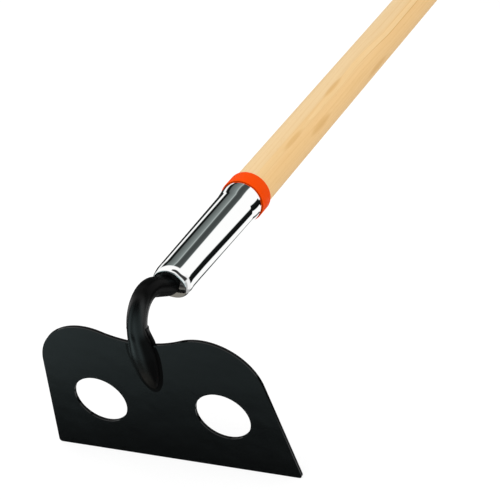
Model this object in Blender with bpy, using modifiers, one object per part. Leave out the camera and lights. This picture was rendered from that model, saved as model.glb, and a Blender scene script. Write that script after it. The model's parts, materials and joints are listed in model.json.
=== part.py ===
"""Cement hoe: a holed blade, a gooseneck, a chrome ferrule and a turned wooden handle.

Metres, +Z up. The hoe rests on its cutting edge and on the butt of its handle. The origin is the
middle of the cutting edge, +X runs along that edge and +Y runs towards the butt.

Two frames are used. In the blade's frame the blade stands upright: its front face lies on the
plane y = 0 and its cutting edge on z = 0. In the handle's frame the handle's axis is Z, which points
at the blade, and z = 0 is where that axis would cross the blade's front plane.
"""
import math

import bmesh
import bpy
from mathutils import Matrix

# Clearance between pieces that touch
FIT_GAP = 0.0003

# Blade; its width is measured between the sharp corners that its sides and edge would meet in
BLADE_WIDTH = 0.254
BLADE_HEIGHT = 0.1517
BLADE_THICKNESS = 0.0032
BLADE_EDGE_ROUND = 0.0004
BLADE_CORNER_RADIUS = 0.003
LOBE_RADIUS = 0.0528
LOBE_SPACING = 0.1184
DIP_DEPTH = 0.0112
HOLE_RADIUS = 0.0267
HOLE_SPACING = 0.1252
HOLE_HEIGHT = 0.0642

# Handle's axis
HANDLE_TILT = math.radians(7.9)
AXIS_ABOVE_DIP = 0.02155

# Neck: a round bar, bent twice, with a flattened foot on the blade and a tang in the handle
BAR_RADIUS = 0.0093
LOWER_BEND_RADIUS = 0.018
UPPER_BEND_RADIUS = 0.0268
NECK_RISE_ANGLE = math.radians(37.0)
BEND_BEHIND_FERRULE_FRONT = 0.0062
FOOT_HALF_WIDTH = 0.0136
FOOT_HALF_DEPTH = 0.0105
FOOT_BELOW_DIP = 0.054
FOOT_ABOVE_DIP = 0.0175
FOOT_SPREAD_SHARE = 0.42
NOSE_FULLNESS = 3.3
NOSE_SHARPNESS = 0.62
TANG_RADIUS = 0.0065
TANG_TIP_RADIUS = 0.003
TANG_LENGTH = 0.100

# Welds that hold the neck on the blade
FRONT_WELD_RADIUS = 0.0012
FRONT_WELD_BELOW_DIP = 0.003
REAR_WELD_ABOVE_DIP = 0.0175
REAR_WELD_BELOW_DIP = 0.0125
REAR_WELD_THROAT = 0.0010

# Ferrule: distances are measured down the handle's axis from its crossing with the blade's plane
FERRULE_FRONT = 0.066
FERRULE_LENGTH = 0.170
FERRULE_WALL = 0.0012
FERRULE_MOUTH_PROUD = 0.0009
FERRULE_FLARE = 0.0013
FERRULE_TAPER = 0.0014
FERRULE_SHOULDER_LENGTH = 0.0125
FERRULE_SHOULDER_REACH = 0.0013
FERRULE_SHOULDER_SLOPE = 0.06
FERRULE_SLANT = 0.009
FERRULE_FLARE_LENGTH = 0.018
FERRULE_LIP_LENGTH = 0.012

# Collar round the ferrule's mouth
COLLAR_LENGTH = 0.018
COLLAR_OVERLAP = 0.009
COLLAR_WALL = 0.0010
COLLAR_EDGE_ROUND = 0.0004

# Handle
HANDLE_RADIUS = 0.0204
HANDLE_LENGTH = 1.372
HANDLE_FRONT_SETBACK = 0.014
BUTT_ROUND = 0.005

# Nail through the ferrule's underside
NAIL_BEFORE_FLARE = 0.012
NAIL_LENGTH = 0.012
NAIL_SHANK_RADIUS = 0.0012
NAIL_POINT_LENGTH = 0.003
NAIL_HEAD_RADIUS = 0.0030
NAIL_HEAD_HEIGHT = 0.0010

# Fineness of the round shapes
ARC_STEP = math.radians(6)
NECK_SIDES = 28
FOOT_STATIONS = 22
TURNED_STEPS = 48
NAIL_STEPS = 16
FLARE_STEPS = 5
FACE_RINGS = 6
HOLE_STEPS = 40
MERGE_DISTANCE = 0.00001
SMOOTH_ANGLE = math.radians(35)

# Colours: base colour, metallic, roughness
BLACK_PAINT = ((0.012, 0.013, 0.013, 1.0), 0.0, 0.42)
CHROME = ((0.86, 0.87, 0.87, 1.0), 1.0, 0.07)
ORANGE_PLASTIC = ((1.0, 0.085, 0.0, 1.0), 0.0, 0.45)
PALE_WOOD = ((0.80, 0.55, 0.30, 1.0), 0.0, 0.55)
STEEL = ((0.55, 0.55, 0.55, 1.0), 1.0, 0.35)

# Places that follow from the sizes
DIP_HEIGHT = BLADE_HEIGHT - DIP_DEPTH
MID_PLANE = BLADE_THICKNESS / 2
AXIS_HEIGHT = DIP_HEIGHT + AXIS_ABOVE_DIP
FERRULE_MOUTH = FERRULE_FRONT + FERRULE_LENGTH
FERRULE_FLARE_START = FERRULE_MOUTH - FERRULE_LIP_LENGTH - FERRULE_FLARE_LENGTH
FERRULE_MOUTH_RADIUS = HANDLE_RADIUS + FERRULE_MOUTH_PROUD
FERRULE_REAR_RADIUS = FERRULE_MOUTH_RADIUS - FERRULE_FLARE
FERRULE_FRONT_RADIUS = FERRULE_REAR_RADIUS - FERRULE_TAPER
HANDLE_FRONT = FERRULE_FRONT + HANDLE_FRONT_SETBACK
TANG_START = HANDLE_FRONT - FIT_GAP
TANG_END = TANG_START + TANG_LENGTH
HANDLE_BUTT = HANDLE_FRONT + HANDLE_LENGTH
NAIL_PLACE = FERRULE_FLARE_START - NAIL_BEFORE_FLARE


# Scene, collections and materials


def clear_scene():
    """Remove every object of the open scene."""
    for old in list(bpy.data.objects):
        bpy.data.objects.remove(old, do_unlink=True)


def new_collection(name):
    """Make a collection in the scene."""
    made = bpy.data.collections.new(name)
    bpy.context.scene.collection.children.link(made)
    return made


def new_material(name, finish):
    """Make a Principled material from a base colour, a metallic value and a roughness."""
    colour, metallic, roughness = finish
    made = bpy.data.materials.new(name)
    made.use_nodes = True
    shader = made.node_tree.nodes["Principled BSDF"]
    shader.inputs["Base Color"].default_value = colour
    shader.inputs["Metallic"].default_value = metallic
    shader.inputs["Roughness"].default_value = roughness
    made.diffuse_color = colour
    return made


# Construction


def new_empty(name, collection, parent=None):
    """Make an empty that carries a frame."""
    empty = bpy.data.objects.new(name, None)
    collection.objects.link(empty)
    empty.parent = parent
    return empty


def new_form(name, mesh, collection, parent):
    """Put a construction mesh in the cutters' collection, under a frame."""
    form = bpy.data.objects.new(name, mesh)
    collection.objects.link(form)
    form.parent = parent
    form.hide_render = True
    form.display_type = "WIRE"
    return form


def evaluated_mesh(form):
    """Read a form as its modifiers leave it, in its own coordinates, with doubles merged."""
    bpy.context.view_layer.update()
    graph = bpy.context.evaluated_depsgraph_get()
    mesh = bpy.data.meshes.new_from_object(form.evaluated_get(graph), depsgraph=graph)
    shape = bmesh.new()
    shape.from_mesh(mesh)
    bmesh.ops.remove_doubles(shape, verts=shape.verts, dist=MERGE_DISTANCE)
    bmesh.ops.recalc_face_normals(shape, faces=shape.faces)
    shape.to_mesh(mesh)
    shape.free()
    return mesh


def finish_part(name, form, collection, material):
    """Turn a form into the finished sub-part: a smooth-shaded mesh at the form's place."""
    mesh = evaluated_mesh(form)
    mesh.name = name
    mesh.shade_smooth()
    mesh.set_sharp_from_angle(angle=SMOOTH_ANGLE)
    mesh.materials.clear()
    mesh.materials.append(material)
    part = bpy.data.objects.new(name, mesh)
    collection.objects.link(part)
    part.parent = form.parent
    part.location = form.location
    part.rotation_euler = form.rotation_euler
    bpy.data.objects.remove(form)


def cut(form, cutter):
    """Take a cutter out of a form."""
    boolean = form.modifiers.new("cut " + cutter.name, "BOOLEAN")
    boolean.operation = "DIFFERENCE"
    boolean.solver = "EXACT"
    boolean.object = cutter


def turned_form(name, profile, collection, parent, steps=TURNED_STEPS):
    """Turn a profile of (radius, z) points about Z; it runs down the shape's outer side."""
    mesh = bpy.data.meshes.new(name)
    points = [(radius, 0.0, z) for radius, z in profile]
    edges = [(i, i + 1) for i in range(len(points) - 1)]
    mesh.from_pydata(points, edges, [])
    form = new_form(name, mesh, collection, parent)
    screw = form.modifiers.new("turn", "SCREW")
    screw.axis = "Z"
    screw.angle = 2 * math.pi
    screw.steps = steps
    screw.render_steps = steps
    screw.use_merge_vertices = True
    screw.merge_threshold = MERGE_DISTANCE
    return form


def flat_form(name, outlines, back, front, collection, parent):
    """Cut a plate from closed (x, z) outlines, between two planes of constant y."""
    curve = bpy.data.curves.new(name, "CURVE")
    curve.dimensions = "2D"
    curve.fill_mode = "BOTH"
    curve.extrude = (back - front) / 2
    for outline in outlines:
        spline = curve.splines.new("POLY")
        spline.points.add(len(outline) - 1)
        for point, (x, z) in zip(spline.points, outline):
            point.co = (x, z, 0.0, 1.0)
        spline.use_cyclic_u = True
    drawn = new_form(name + " outline", curve, collection, parent)
    plate = new_form(name, evaluated_mesh(drawn), collection, parent)
    bpy.data.objects.remove(drawn)
    upright = Matrix.Rotation(math.radians(90), 4, "X")
    plate.data.transform(Matrix.Translation((0.0, (front + back) / 2, 0.0)) @ upright)
    return plate


def lofted_form(name, rings, collection, parent):
    """Skin a row of rings that have the same number of points, and close both ends."""
    shape = bmesh.new()
    rows = [[shape.verts.new(point) for point in ring] for ring in rings]
    for row, after in zip(rows, rows[1:]):
        for i in range(len(row)):
            j = (i + 1) % len(row)
            shape.faces.new((row[i], row[j], after[j], after[i]))
    shape.faces.new(rows[0])
    shape.faces.new(rows[-1])
    bmesh.ops.recalc_face_normals(shape, faces=shape.faces)
    mesh = bpy.data.meshes.new(name)
    shape.to_mesh(mesh)
    shape.free()
    return new_form(name, mesh, collection, parent)


def arc_points(centre, radius, start, end, step=ARC_STEP):
    """List points along an arc, ends included; angles are counter-clockwise from +X."""
    count = max(2, math.ceil(abs(end - start) / step))
    angles = [start + (end - start) * i / count for i in range(count + 1)]
    return [(centre[0] + radius * math.cos(a), centre[1] + radius * math.sin(a)) for a in angles]


# Blade


def dip_arc_radius():
    """Find the radius of the hollow arc that runs from lobe to lobe and is tangent to both."""
    lobe_x = LOBE_SPACING / 2
    above = LOBE_RADIUS - DIP_DEPTH
    return (lobe_x ** 2 + above ** 2 - LOBE_RADIUS ** 2) / (2 * DIP_DEPTH)


def dip_arc_centre():
    """Find the centre of that arc, as (x, z)."""
    return 0.0, DIP_HEIGHT + dip_arc_radius()


def blade_half_outline():
    """List the outline's points for x > 0, from the bottom corner up to the dip's middle."""
    lobe = (LOBE_SPACING / 2, BLADE_HEIGHT - LOBE_RADIUS)
    corner = (BLADE_WIDTH / 2, 0.0)
    reach = math.hypot(corner[0] - lobe[0], corner[1] - lobe[1])
    towards_corner = math.atan2(corner[1] - lobe[1], corner[0] - lobe[0])
    side_normal = towards_corner + math.acos(LOBE_RADIUS / reach)
    inset = BLADE_CORNER_RADIUS / math.tan((math.pi / 2 - side_normal) / 2)
    rounded = (corner[0] - inset, BLADE_CORNER_RADIUS)
    dip = dip_arc_centre()
    towards_dip = math.atan2(dip[1] - lobe[1], dip[0] - lobe[0])
    points = arc_points(rounded, BLADE_CORNER_RADIUS, -math.pi / 2, side_normal)
    points += arc_points(lobe, LOBE_RADIUS, side_normal, towards_dip)
    points += arc_points(dip, dip_arc_radius(), towards_dip - math.pi, -math.pi / 2)[1:]
    return points


def hole_outline(side):
    """List the points of one round hole; side is -1 or 1."""
    centre = (side * HOLE_SPACING / 2, HOLE_HEIGHT)
    return arc_points(centre, HOLE_RADIUS, 0.0, 2 * math.pi, 2 * math.pi / HOLE_STEPS)[:-1]


def make_blade(parts, cutters, blade_frame, material):
    """Make the plate with its two lobes, its dip and its two mixing holes."""
    half = blade_half_outline()
    mirrored = [(-x, z) for x, z in reversed(half[:-1])]
    outlines = [half + mirrored, hole_outline(-1), hole_outline(1)]
    form = flat_form("blade form", outlines, BLADE_THICKNESS, 0.0, cutters, blade_frame)
    rounding = form.modifiers.new("rounded edges", "BEVEL")
    rounding.width = BLADE_EDGE_ROUND
    rounding.segments = 2
    rounding.limit_method = "ANGLE"
    rounding.angle_limit = math.radians(60)
    finish_part("blade", form, parts, material)


def under_dip(name, front, back, rise, cutters, blade_frame):
    """Make a cutter that fills the space under the dip's arc, raised by a clearance."""
    half_angle = math.asin(LOBE_SPACING / 2 / (dip_arc_radius() + LOBE_RADIUS))
    top = arc_points(dip_arc_centre(), dip_arc_radius() - rise,
                     -math.pi / 2 - half_angle, -math.pi / 2 + half_angle)
    outline = top + [(top[-1][0], 0.0), (top[0][0], 0.0)]
    return flat_form(name, [outline], back, front, cutters, blade_frame)


# Neck


def neck_path():
    """List stations down the middle of the bar, from its shoulder to the foot's tip.

    The bar lies in the plane x = 0. A station is (y, z, heading); the heading is the angle above
    the -Y direction, so that the bar heads along (-cos, sin).
    """
    bend = FERRULE_FRONT + BEND_BEHIND_FERRULE_FRONT
    stations = [axis_station(TANG_START), axis_station(bend)]
    y, z, heading = stations[-1]
    centre = (y + LOWER_BEND_RADIUS * math.sin(heading), z + LOWER_BEND_RADIUS * math.cos(heading))
    stations += bent(centre, -LOWER_BEND_RADIUS, heading, NECK_RISE_ANGLE)
    y, z, heading = stations[-1]
    bend_y = MID_PLANE + UPPER_BEND_RADIUS * (1 + math.sin(NECK_RISE_ANGLE))
    bend_z = z + (y - bend_y) * math.tan(NECK_RISE_ANGLE)
    centre = (bend_y - UPPER_BEND_RADIUS * math.sin(heading),
              bend_z - UPPER_BEND_RADIUS * math.cos(heading))
    stations += [(bend_y, bend_z, heading)]
    stations += bent(centre, UPPER_BEND_RADIUS, heading, -math.pi / 2)
    top = stations[-1][1]
    tip = DIP_HEIGHT - FOOT_BELOW_DIP
    for i in range(1, FOOT_STATIONS + 1):
        stations.append((MID_PLANE, top + (tip - top) * i / FOOT_STATIONS, -math.pi / 2))
    return stations


def axis_station(distance):
    """Give the station on the handle's axis at a distance down it."""
    return (distance * math.cos(HANDLE_TILT), AXIS_HEIGHT - distance * math.sin(HANDLE_TILT),
            HANDLE_TILT)


def bent(centre, radius, start, end):
    """List the stations of a bend, without its first; the radius is negative on a bend upwards."""
    count = math.ceil(abs(end - start) / ARC_STEP)
    headings = [start + (end - start) * i / count for i in range(1, count + 1)]
    return [(centre[0] + radius * math.sin(a), centre[1] + radius * math.cos(a), a)
            for a in headings]


def foot_section(to_tip):
    """Give the bar's half width and half depth at a distance from the foot's tip."""
    foot_length = FOOT_BELOW_DIP + FOOT_ABOVE_DIP
    down = 1 - min(to_tip / foot_length, 1.0)
    share = min(down / FOOT_SPREAD_SHARE, 1.0)
    spread = share * share * (3 - 2 * share)
    nose = max(1 - down ** NOSE_FULLNESS, 0.0) ** NOSE_SHARPNESS
    half_width = BAR_RADIUS + (FOOT_HALF_WIDTH - BAR_RADIUS) * spread
    half_depth = BAR_RADIUS + (FOOT_HALF_DEPTH - BAR_RADIUS) * spread
    return half_width * nose, half_depth * nose


def ring(station, half_width, half_depth):
    """List the points of an oval section, square to the bar at a station."""
    y, z, heading = station
    points = []
    for i in range(NECK_SIDES):
        turn = 2 * math.pi * i / NECK_SIDES
        out = half_depth * math.sin(turn)
        points.append((half_width * math.cos(turn),
                       y + out * math.sin(heading), z + out * math.cos(heading)))
    return points


def measured_path():
    """List the neck's stations, each with its distance along the bar to the foot's tip."""
    stations = neck_path()
    to_tip = 0.0
    measured = [(stations[-1], to_tip)]
    for after, station in zip(reversed(stations), reversed(stations[:-1])):
        to_tip += math.dist(after[:2], station[:2])
        measured.append((station, to_tip))
    return measured[::-1]


def neck_rings(grow):
    """List the neck's rings from the tang's tip to the foot's tip, each made larger by grow."""
    rings = [ring(axis_station(TANG_END + grow), TANG_TIP_RADIUS + grow, TANG_TIP_RADIUS + grow),
             ring(axis_station(TANG_START + grow), TANG_RADIUS + grow, TANG_RADIUS + grow),
             ring(axis_station(TANG_START + grow), BAR_RADIUS + grow, BAR_RADIUS + grow)]
    for station, to_tip in measured_path()[1:-1]:
        half_width, half_depth = foot_section(to_tip)
        rings.append(ring(station, half_width + grow, half_depth + grow))
    return rings


def neck_form(name, grow, cutters, blade_frame):
    """Make the neck larger by grow, seated on the blade's top edge and front face."""
    form = lofted_form(name, neck_rings(grow), cutters, blade_frame)
    clearance = FIT_GAP - grow
    behind = 2 * FOOT_HALF_DEPTH
    cut(form, under_dip(name + " seat", -clearance, behind, clearance, cutters, blade_frame))
    return form


def make_neck(parts, cutters, blade_frame, material):
    """Make the neck: tang, gooseneck and foot in one bar."""
    form = neck_form("neck form", 0.0, cutters, blade_frame)
    finish_part("neck", form, parts, material)


# Welds


def footprint_half_width(z):
    """Give half the foot's width where it meets the blade's front face, at a height."""
    half_width, half_depth = foot_section(z - DIP_HEIGHT + FOOT_BELOW_DIP)
    depth_at_face = MID_PLANE + FIT_GAP
    if half_depth <= depth_at_face:
        return 0.0
    return half_width * math.sqrt(1 - (depth_at_face / half_depth) ** 2)


def footprint_tip():
    """Find the height at which the foot dives into the blade's front plane."""
    low, high = DIP_HEIGHT - FOOT_BELOW_DIP, DIP_HEIGHT
    while high - low > MERGE_DISTANCE:
        middle = (low + high) / 2
        if footprint_half_width(middle) > 0:
            high = middle
        else:
            low = middle
    return low


def front_weld_path():
    """List (x, z) points of the bead's middle: down the foot's left, round its tip and up."""
    top = DIP_HEIGHT - FRONT_WELD_BELOW_DIP
    tip = footprint_tip()
    reach = FIT_GAP + FRONT_WELD_RADIUS
    half = []
    for i in range(FOOT_STATIONS + 1):
        z = top + (tip - top) * i / FOOT_STATIONS
        half.append((footprint_half_width(z), z))
    right = []
    for before, point, after in zip(half, half[1:], half[2:]):
        along = math.atan2(after[1] - before[1], after[0] - before[0])
        right.append((point[0] - reach * math.sin(along), point[1] + reach * math.cos(along)))
    left = [(-x, z) for x, z in right]
    return left + [(0.0, tip - reach)] + right[::-1]


def make_front_weld(parts, cutters, blade_frame, material):
    """Make the bead that runs round the foot on the blade's front face."""
    curve = bpy.data.curves.new("front weld path", "CURVE")
    curve.dimensions = "3D"
    curve.bevel_depth = FRONT_WELD_RADIUS
    curve.bevel_resolution = 2
    curve.use_fill_caps = True
    path = front_weld_path()
    spline = curve.splines.new("POLY")
    spline.points.add(len(path) - 1)
    y = -(FIT_GAP + FRONT_WELD_RADIUS)
    for point, (x, z) in zip(spline.points, path):
        point.co = (x, y, z, 1.0)
    form = new_form("front weld form", curve, cutters, blade_frame)
    finish_part("front_weld", form, parts, material)


def make_rear_weld(parts, cutters, blade_frame, material):
    """Make the weld behind the bar, which saddles it on the blade's top edge and back face."""
    rings = []
    for station, to_tip in measured_path():
        above_dip = station[1] - DIP_HEIGHT
        if station[2] < 0 and -REAR_WELD_BELOW_DIP < above_dip < REAR_WELD_ABOVE_DIP:
            under = max(-above_dip, 0.0) / REAR_WELD_BELOW_DIP
            nose = math.sqrt(1 - under * under)
            half_width, half_depth = foot_section(to_tip)
            rings.append(ring(station, (half_width + REAR_WELD_THROAT) * nose,
                              (half_depth + REAR_WELD_THROAT) * nose))
    form = lofted_form("rear weld form", rings, cutters, blade_frame)
    front = -2 * FOOT_HALF_DEPTH
    high = DIP_HEIGHT + 2 * REAR_WELD_ABOVE_DIP
    side = 2 * FOOT_HALF_WIDTH
    front_half = [(-side, 0.0), (side, 0.0), (side, high), (-side, high)]
    cut(form, flat_form("front half", [front_half], MID_PLANE, front, cutters, blade_frame))
    back = BLADE_THICKNESS + FIT_GAP
    cut(form, under_dip("blade room", front, back, FIT_GAP, cutters, blade_frame))
    cut(form, neck_form("neck room", FIT_GAP, cutters, blade_frame))
    finish_part("rear_weld", form, parts, material)


# Ferrule, collar, handle and nail, in the handle's frame


def ferrule_outside():
    """List (radius, distance) points of the ferrule's outside behind its shoulder."""
    points = [(FERRULE_FRONT_RADIUS, FERRULE_FRONT + FERRULE_SHOULDER_LENGTH)]
    for i in range(FLARE_STEPS + 1):
        share = i / FLARE_STEPS
        ease = share * share * (3 - 2 * share)
        points.append((FERRULE_REAR_RADIUS + FERRULE_FLARE * ease,
                       FERRULE_FLARE_START + FERRULE_FLARE_LENGTH * share))
    points.append((FERRULE_MOUTH_RADIUS, FERRULE_MOUTH))
    return points


def radius_at(points, distance):
    """Read a radius off a row of (radius, distance) points."""
    for (r0, d0), (r1, d1) in zip(points, points[1:]):
        if d0 <= distance <= d1:
            return r0 + (r1 - r0) * (distance - d0) / (d1 - d0)
    raise ValueError("distance outside the profile")


def shoulder_points():
    """List (radius, distance) points of the shoulder: a sloped line that rounds over at its end."""
    points = []
    for across, along in arc_points((0.0, 0.0), 1.0, -math.pi / 2, 0.0, 2 * ARC_STEP)[:-1]:
        ahead = -FERRULE_SHOULDER_LENGTH * along
        drop = FERRULE_SHOULDER_SLOPE * ahead + FERRULE_SHOULDER_REACH * (1 - across)
        points.append((FERRULE_FRONT_RADIUS - drop, FERRULE_FRONT + FERRULE_SHOULDER_LENGTH - ahead))
    return points


def slanted_form(name, shoulder, rear, depth, cutters, handle_frame):
    """Turn a solid with a closed front end, which curves back towards its lower edge.

    The depth is how far the solid lies under the ferrule's outside; its shoulder sits that much
    further back and all its radii are that much smaller.
    """
    face = shoulder[0][0] - depth
    points = [(face * i / FACE_RINGS, FERRULE_FRONT + depth) for i in range(FACE_RINGS)]
    points += [(radius - depth, distance + depth) for radius, distance in shoulder]
    points += [(radius - depth, distance) for radius, distance in rear]
    points += [(rear[-1][0] - depth, FERRULE_MOUTH + depth), (0.0, FERRULE_MOUTH + depth)]
    profile = [(radius, -distance) for radius, distance in points]
    straight = turned_form(name + " unslanted", profile, cutters, handle_frame)
    mesh = evaluated_mesh(straight)
    bpy.data.objects.remove(straight)
    for vertex in mesh.vertices:
        reach = max(vertex.co.z + depth + HANDLE_FRONT, 0.0) / HANDLE_FRONT_SETBACK
        low = (1 - vertex.co.y / FERRULE_FRONT_RADIUS) / 2
        vertex.co.z -= FERRULE_SLANT * reach * low * low
    return new_form(name, mesh, cutters, handle_frame)


def make_ferrule(parts, cutters, blade_frame, handle_frame, nail_room, material):
    """Make the chrome tube with its closed front end and its flared mouth."""
    shoulder = shoulder_points() + ferrule_outside()[:1]
    rear = ferrule_outside()[1:]
    form = slanted_form("ferrule form", shoulder, rear, 0.0, cutters, handle_frame)
    cut(form, slanted_form("ferrule cavity", shoulder, rear, FERRULE_WALL, cutters, handle_frame))
    cut(form, neck_form("neck way", FIT_GAP, cutters, blade_frame))
    cut(form, nail_room)
    finish_part("ferrule", form, parts, material)


def make_collar(parts, cutters, handle_frame, material):
    """Make the plastic ring that covers the ferrule's mouth and closes on the handle."""
    front = FERRULE_MOUTH - COLLAR_OVERLAP
    rear = front + COLLAR_LENGTH
    step = FERRULE_MOUTH + FIT_GAP
    over_ferrule = FERRULE_MOUTH_RADIUS + FIT_GAP
    over_handle = HANDLE_RADIUS + FIT_GAP
    outer = over_ferrule + COLLAR_WALL
    edge = COLLAR_EDGE_ROUND
    profile = arc_points((outer - edge, front + edge), edge, -math.pi / 2, 0.0, math.radians(30))
    profile += arc_points((outer - edge, rear - edge), edge, 0.0, math.pi / 2, math.radians(30))
    profile += [(over_handle, rear), (over_handle, step), (over_ferrule, step)]
    profile += [(over_ferrule, front), profile[0]]
    turned = [(radius, -distance) for radius, distance in profile]
    form = turned_form("collar form", turned, cutters, handle_frame)
    finish_part("collar", form, parts, material)


def make_handle(parts, cutters, handle_frame, nail_room, material):
    """Make the wooden handle: a spigot in the ferrule, a bore for the tang and a rounded butt."""
    fit = FERRULE_WALL + FIT_GAP
    spigot = [(radius - fit, distance) for radius, distance in ferrule_outside()
              if distance > HANDLE_FRONT]
    spigot.insert(0, (radius_at(ferrule_outside(), HANDLE_FRONT) - fit, HANDLE_FRONT))
    spigot_end = (spigot[-1][0], FERRULE_MOUTH + FIT_GAP)
    bore_end = TANG_END + 2 * FIT_GAP
    bore = [(0.0, bore_end), (TANG_TIP_RADIUS + FIT_GAP, bore_end),
            (TANG_RADIUS + FIT_GAP, HANDLE_FRONT)]
    butt = arc_points((HANDLE_RADIUS - BUTT_ROUND, HANDLE_BUTT - BUTT_ROUND), BUTT_ROUND,
                      0.0, math.pi / 2, math.radians(15))
    points = bore + spigot[:-1] + [spigot_end, (HANDLE_RADIUS, FERRULE_MOUTH + FIT_GAP)]
    points += butt + [(0.0, HANDLE_BUTT)]
    profile = [(radius, -distance) for radius, distance in points]
    form = turned_form("handle form", profile, cutters, handle_frame)
    cut(form, nail_room)
    finish_part("handle", form, parts, material)


def place_nail(obj):
    """Stand an object on the ferrule's underside at the nail's place, its Z pointing out."""
    outside = radius_at(ferrule_outside(), NAIL_PLACE)
    obj.location = (0.0, -(outside + FIT_GAP), -NAIL_PLACE)
    obj.rotation_euler = (math.radians(90), 0.0, 0.0)


def make_nail_room(cutters, handle_frame):
    """Make the cutter for the nail's hole through the ferrule and into the handle."""
    depth = NAIL_LENGTH + FIT_GAP
    shape = bmesh.new()
    bmesh.ops.create_cone(shape, cap_ends=True, segments=NAIL_STEPS, depth=2 * depth,
                          radius1=NAIL_SHANK_RADIUS + FIT_GAP, radius2=NAIL_SHANK_RADIUS + FIT_GAP)
    mesh = bpy.data.meshes.new("nail room")
    shape.to_mesh(mesh)
    shape.free()
    room = new_form("nail room", mesh, cutters, handle_frame)
    place_nail(room)
    return room


def make_nail(parts, cutters, handle_frame, material):
    """Make the nail that keeps the ferrule on the handle."""
    dome = arc_points((0.0, 0.0), 1.0, math.pi / 2, 0.0, math.radians(18))
    half_head = NAIL_HEAD_HEIGHT / 2
    profile = [(NAIL_HEAD_RADIUS * x, half_head + half_head * z) for x, z in dome]
    profile += [(NAIL_HEAD_RADIUS, 0.0), (NAIL_SHANK_RADIUS, 0.0),
                (NAIL_SHANK_RADIUS, NAIL_POINT_LENGTH - NAIL_LENGTH), (0.0, -NAIL_LENGTH)]
    form = turned_form("nail form", profile, cutters, handle_frame, NAIL_STEPS)
    place_nail(form)
    finish_part("nail", form, parts, material)


# Frames


def resting_pitch():
    """Find the pitch about X that sets the cutting edge and the butt on one floor."""
    along = HANDLE_BUTT - BUTT_ROUND
    down = HANDLE_RADIUS - BUTT_ROUND
    butt_y = along * math.cos(HANDLE_TILT) - down * math.sin(HANDLE_TILT) - BLADE_EDGE_ROUND
    butt_z = (AXIS_HEIGHT - along * math.sin(HANDLE_TILT) - down * math.cos(HANDLE_TILT)
              - BLADE_EDGE_ROUND)
    lift = (BUTT_ROUND - BLADE_EDGE_ROUND) / math.hypot(butt_y, butt_z)
    return math.asin(lift) - math.atan2(butt_z, butt_y)


def main():
    """Build the hoe."""
    clear_scene()
    parts = new_collection("cement hoe")
    cutters = new_collection("cutters")

    rest = new_empty("resting pitch", parts)
    rest.rotation_euler = (resting_pitch(), 0.0, 0.0)
    blade_frame = new_empty("blade frame", parts, rest)
    blade_frame.location = (0.0, -MID_PLANE, 0.0)
    handle_frame = new_empty("handle frame", parts, blade_frame)
    handle_frame.location = (0.0, 0.0, AXIS_HEIGHT)
    handle_frame.rotation_euler = (math.pi / 2 - HANDLE_TILT, 0.0, 0.0)

    nail_room = make_nail_room(cutters, handle_frame)
    make_blade(parts, cutters, blade_frame, new_material("blade paint", BLACK_PAINT))
    make_neck(parts, cutters, blade_frame, new_material("neck paint", BLACK_PAINT))
    make_front_weld(parts, cutters, blade_frame, new_material("front weld paint", BLACK_PAINT))
    make_rear_weld(parts, cutters, blade_frame, new_material("rear weld paint", BLACK_PAINT))
    make_ferrule(parts, cutters, blade_frame, handle_frame, nail_room,
                 new_material("ferrule chrome", CHROME))
    make_collar(parts, cutters, handle_frame, new_material("collar plastic", ORANGE_PLASTIC))
    make_handle(parts, cutters, handle_frame, nail_room, new_material("handle wood", PALE_WOOD))
    make_nail(parts, cutters, handle_frame, new_material("nail steel", STEEL))


main()
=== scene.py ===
"""Cement hoe: the fine shapes, the finishes, the light and the camera.

Metres, +Z up. The packed solids are the frame that every piece is made to. Two frames of the hoe are
read off its mounts. In the blade's frame the plate stands upright, with its front face on y = 0 and
its cutting edge on z = 0. In the handle's frame the handle's axis is Z, which points at the blade,
and z = 0 is where that axis would cross the plate's front face.
"""
import json
import math

import bmesh
import bpy
from bpy.props import FloatProperty, FloatVectorProperty, IntProperty, PointerProperty
from mathutils import Matrix, Vector


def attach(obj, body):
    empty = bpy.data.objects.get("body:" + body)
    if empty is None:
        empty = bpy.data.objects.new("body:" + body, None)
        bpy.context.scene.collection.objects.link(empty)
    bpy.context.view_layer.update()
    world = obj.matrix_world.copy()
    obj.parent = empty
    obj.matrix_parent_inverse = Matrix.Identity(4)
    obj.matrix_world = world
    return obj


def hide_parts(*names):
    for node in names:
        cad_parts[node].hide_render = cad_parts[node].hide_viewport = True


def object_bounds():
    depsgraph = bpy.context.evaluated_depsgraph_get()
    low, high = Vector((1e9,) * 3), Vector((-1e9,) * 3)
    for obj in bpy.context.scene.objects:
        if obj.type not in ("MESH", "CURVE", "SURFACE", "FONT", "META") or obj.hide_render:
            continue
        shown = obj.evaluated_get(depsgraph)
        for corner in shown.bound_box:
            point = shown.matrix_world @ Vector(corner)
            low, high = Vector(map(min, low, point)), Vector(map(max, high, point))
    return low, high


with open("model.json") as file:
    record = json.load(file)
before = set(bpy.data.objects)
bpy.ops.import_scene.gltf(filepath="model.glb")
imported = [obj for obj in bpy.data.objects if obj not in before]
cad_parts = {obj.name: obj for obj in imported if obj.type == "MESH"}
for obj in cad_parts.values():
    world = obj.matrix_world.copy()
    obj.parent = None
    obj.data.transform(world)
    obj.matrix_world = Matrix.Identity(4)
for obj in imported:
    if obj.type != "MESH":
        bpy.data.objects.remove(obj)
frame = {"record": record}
CAD_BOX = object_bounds()

bl_info = {
    "name": "Cement hoe",
    "version": (1, 0, 0),
    "blender": (4, 5, 0),
    "location": "View3D > Sidebar > Hoe",
    "description": "Builds the finished cement hoe round its packed solids",
    "category": "Object",
}

BODY = "root"
FIT_GAP = 0.0003
MERGE_DISTANCE = 0.000001
SMOOTH_ANGLE = math.radians(35)


def mount(name):
    """Read a mount's point and axis off the packed record."""
    entry = next(item for item in frame["record"]["mounts"] if item["name"] == name)
    return Vector(entry["pos_m"]), Vector(entry["axis"])


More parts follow.
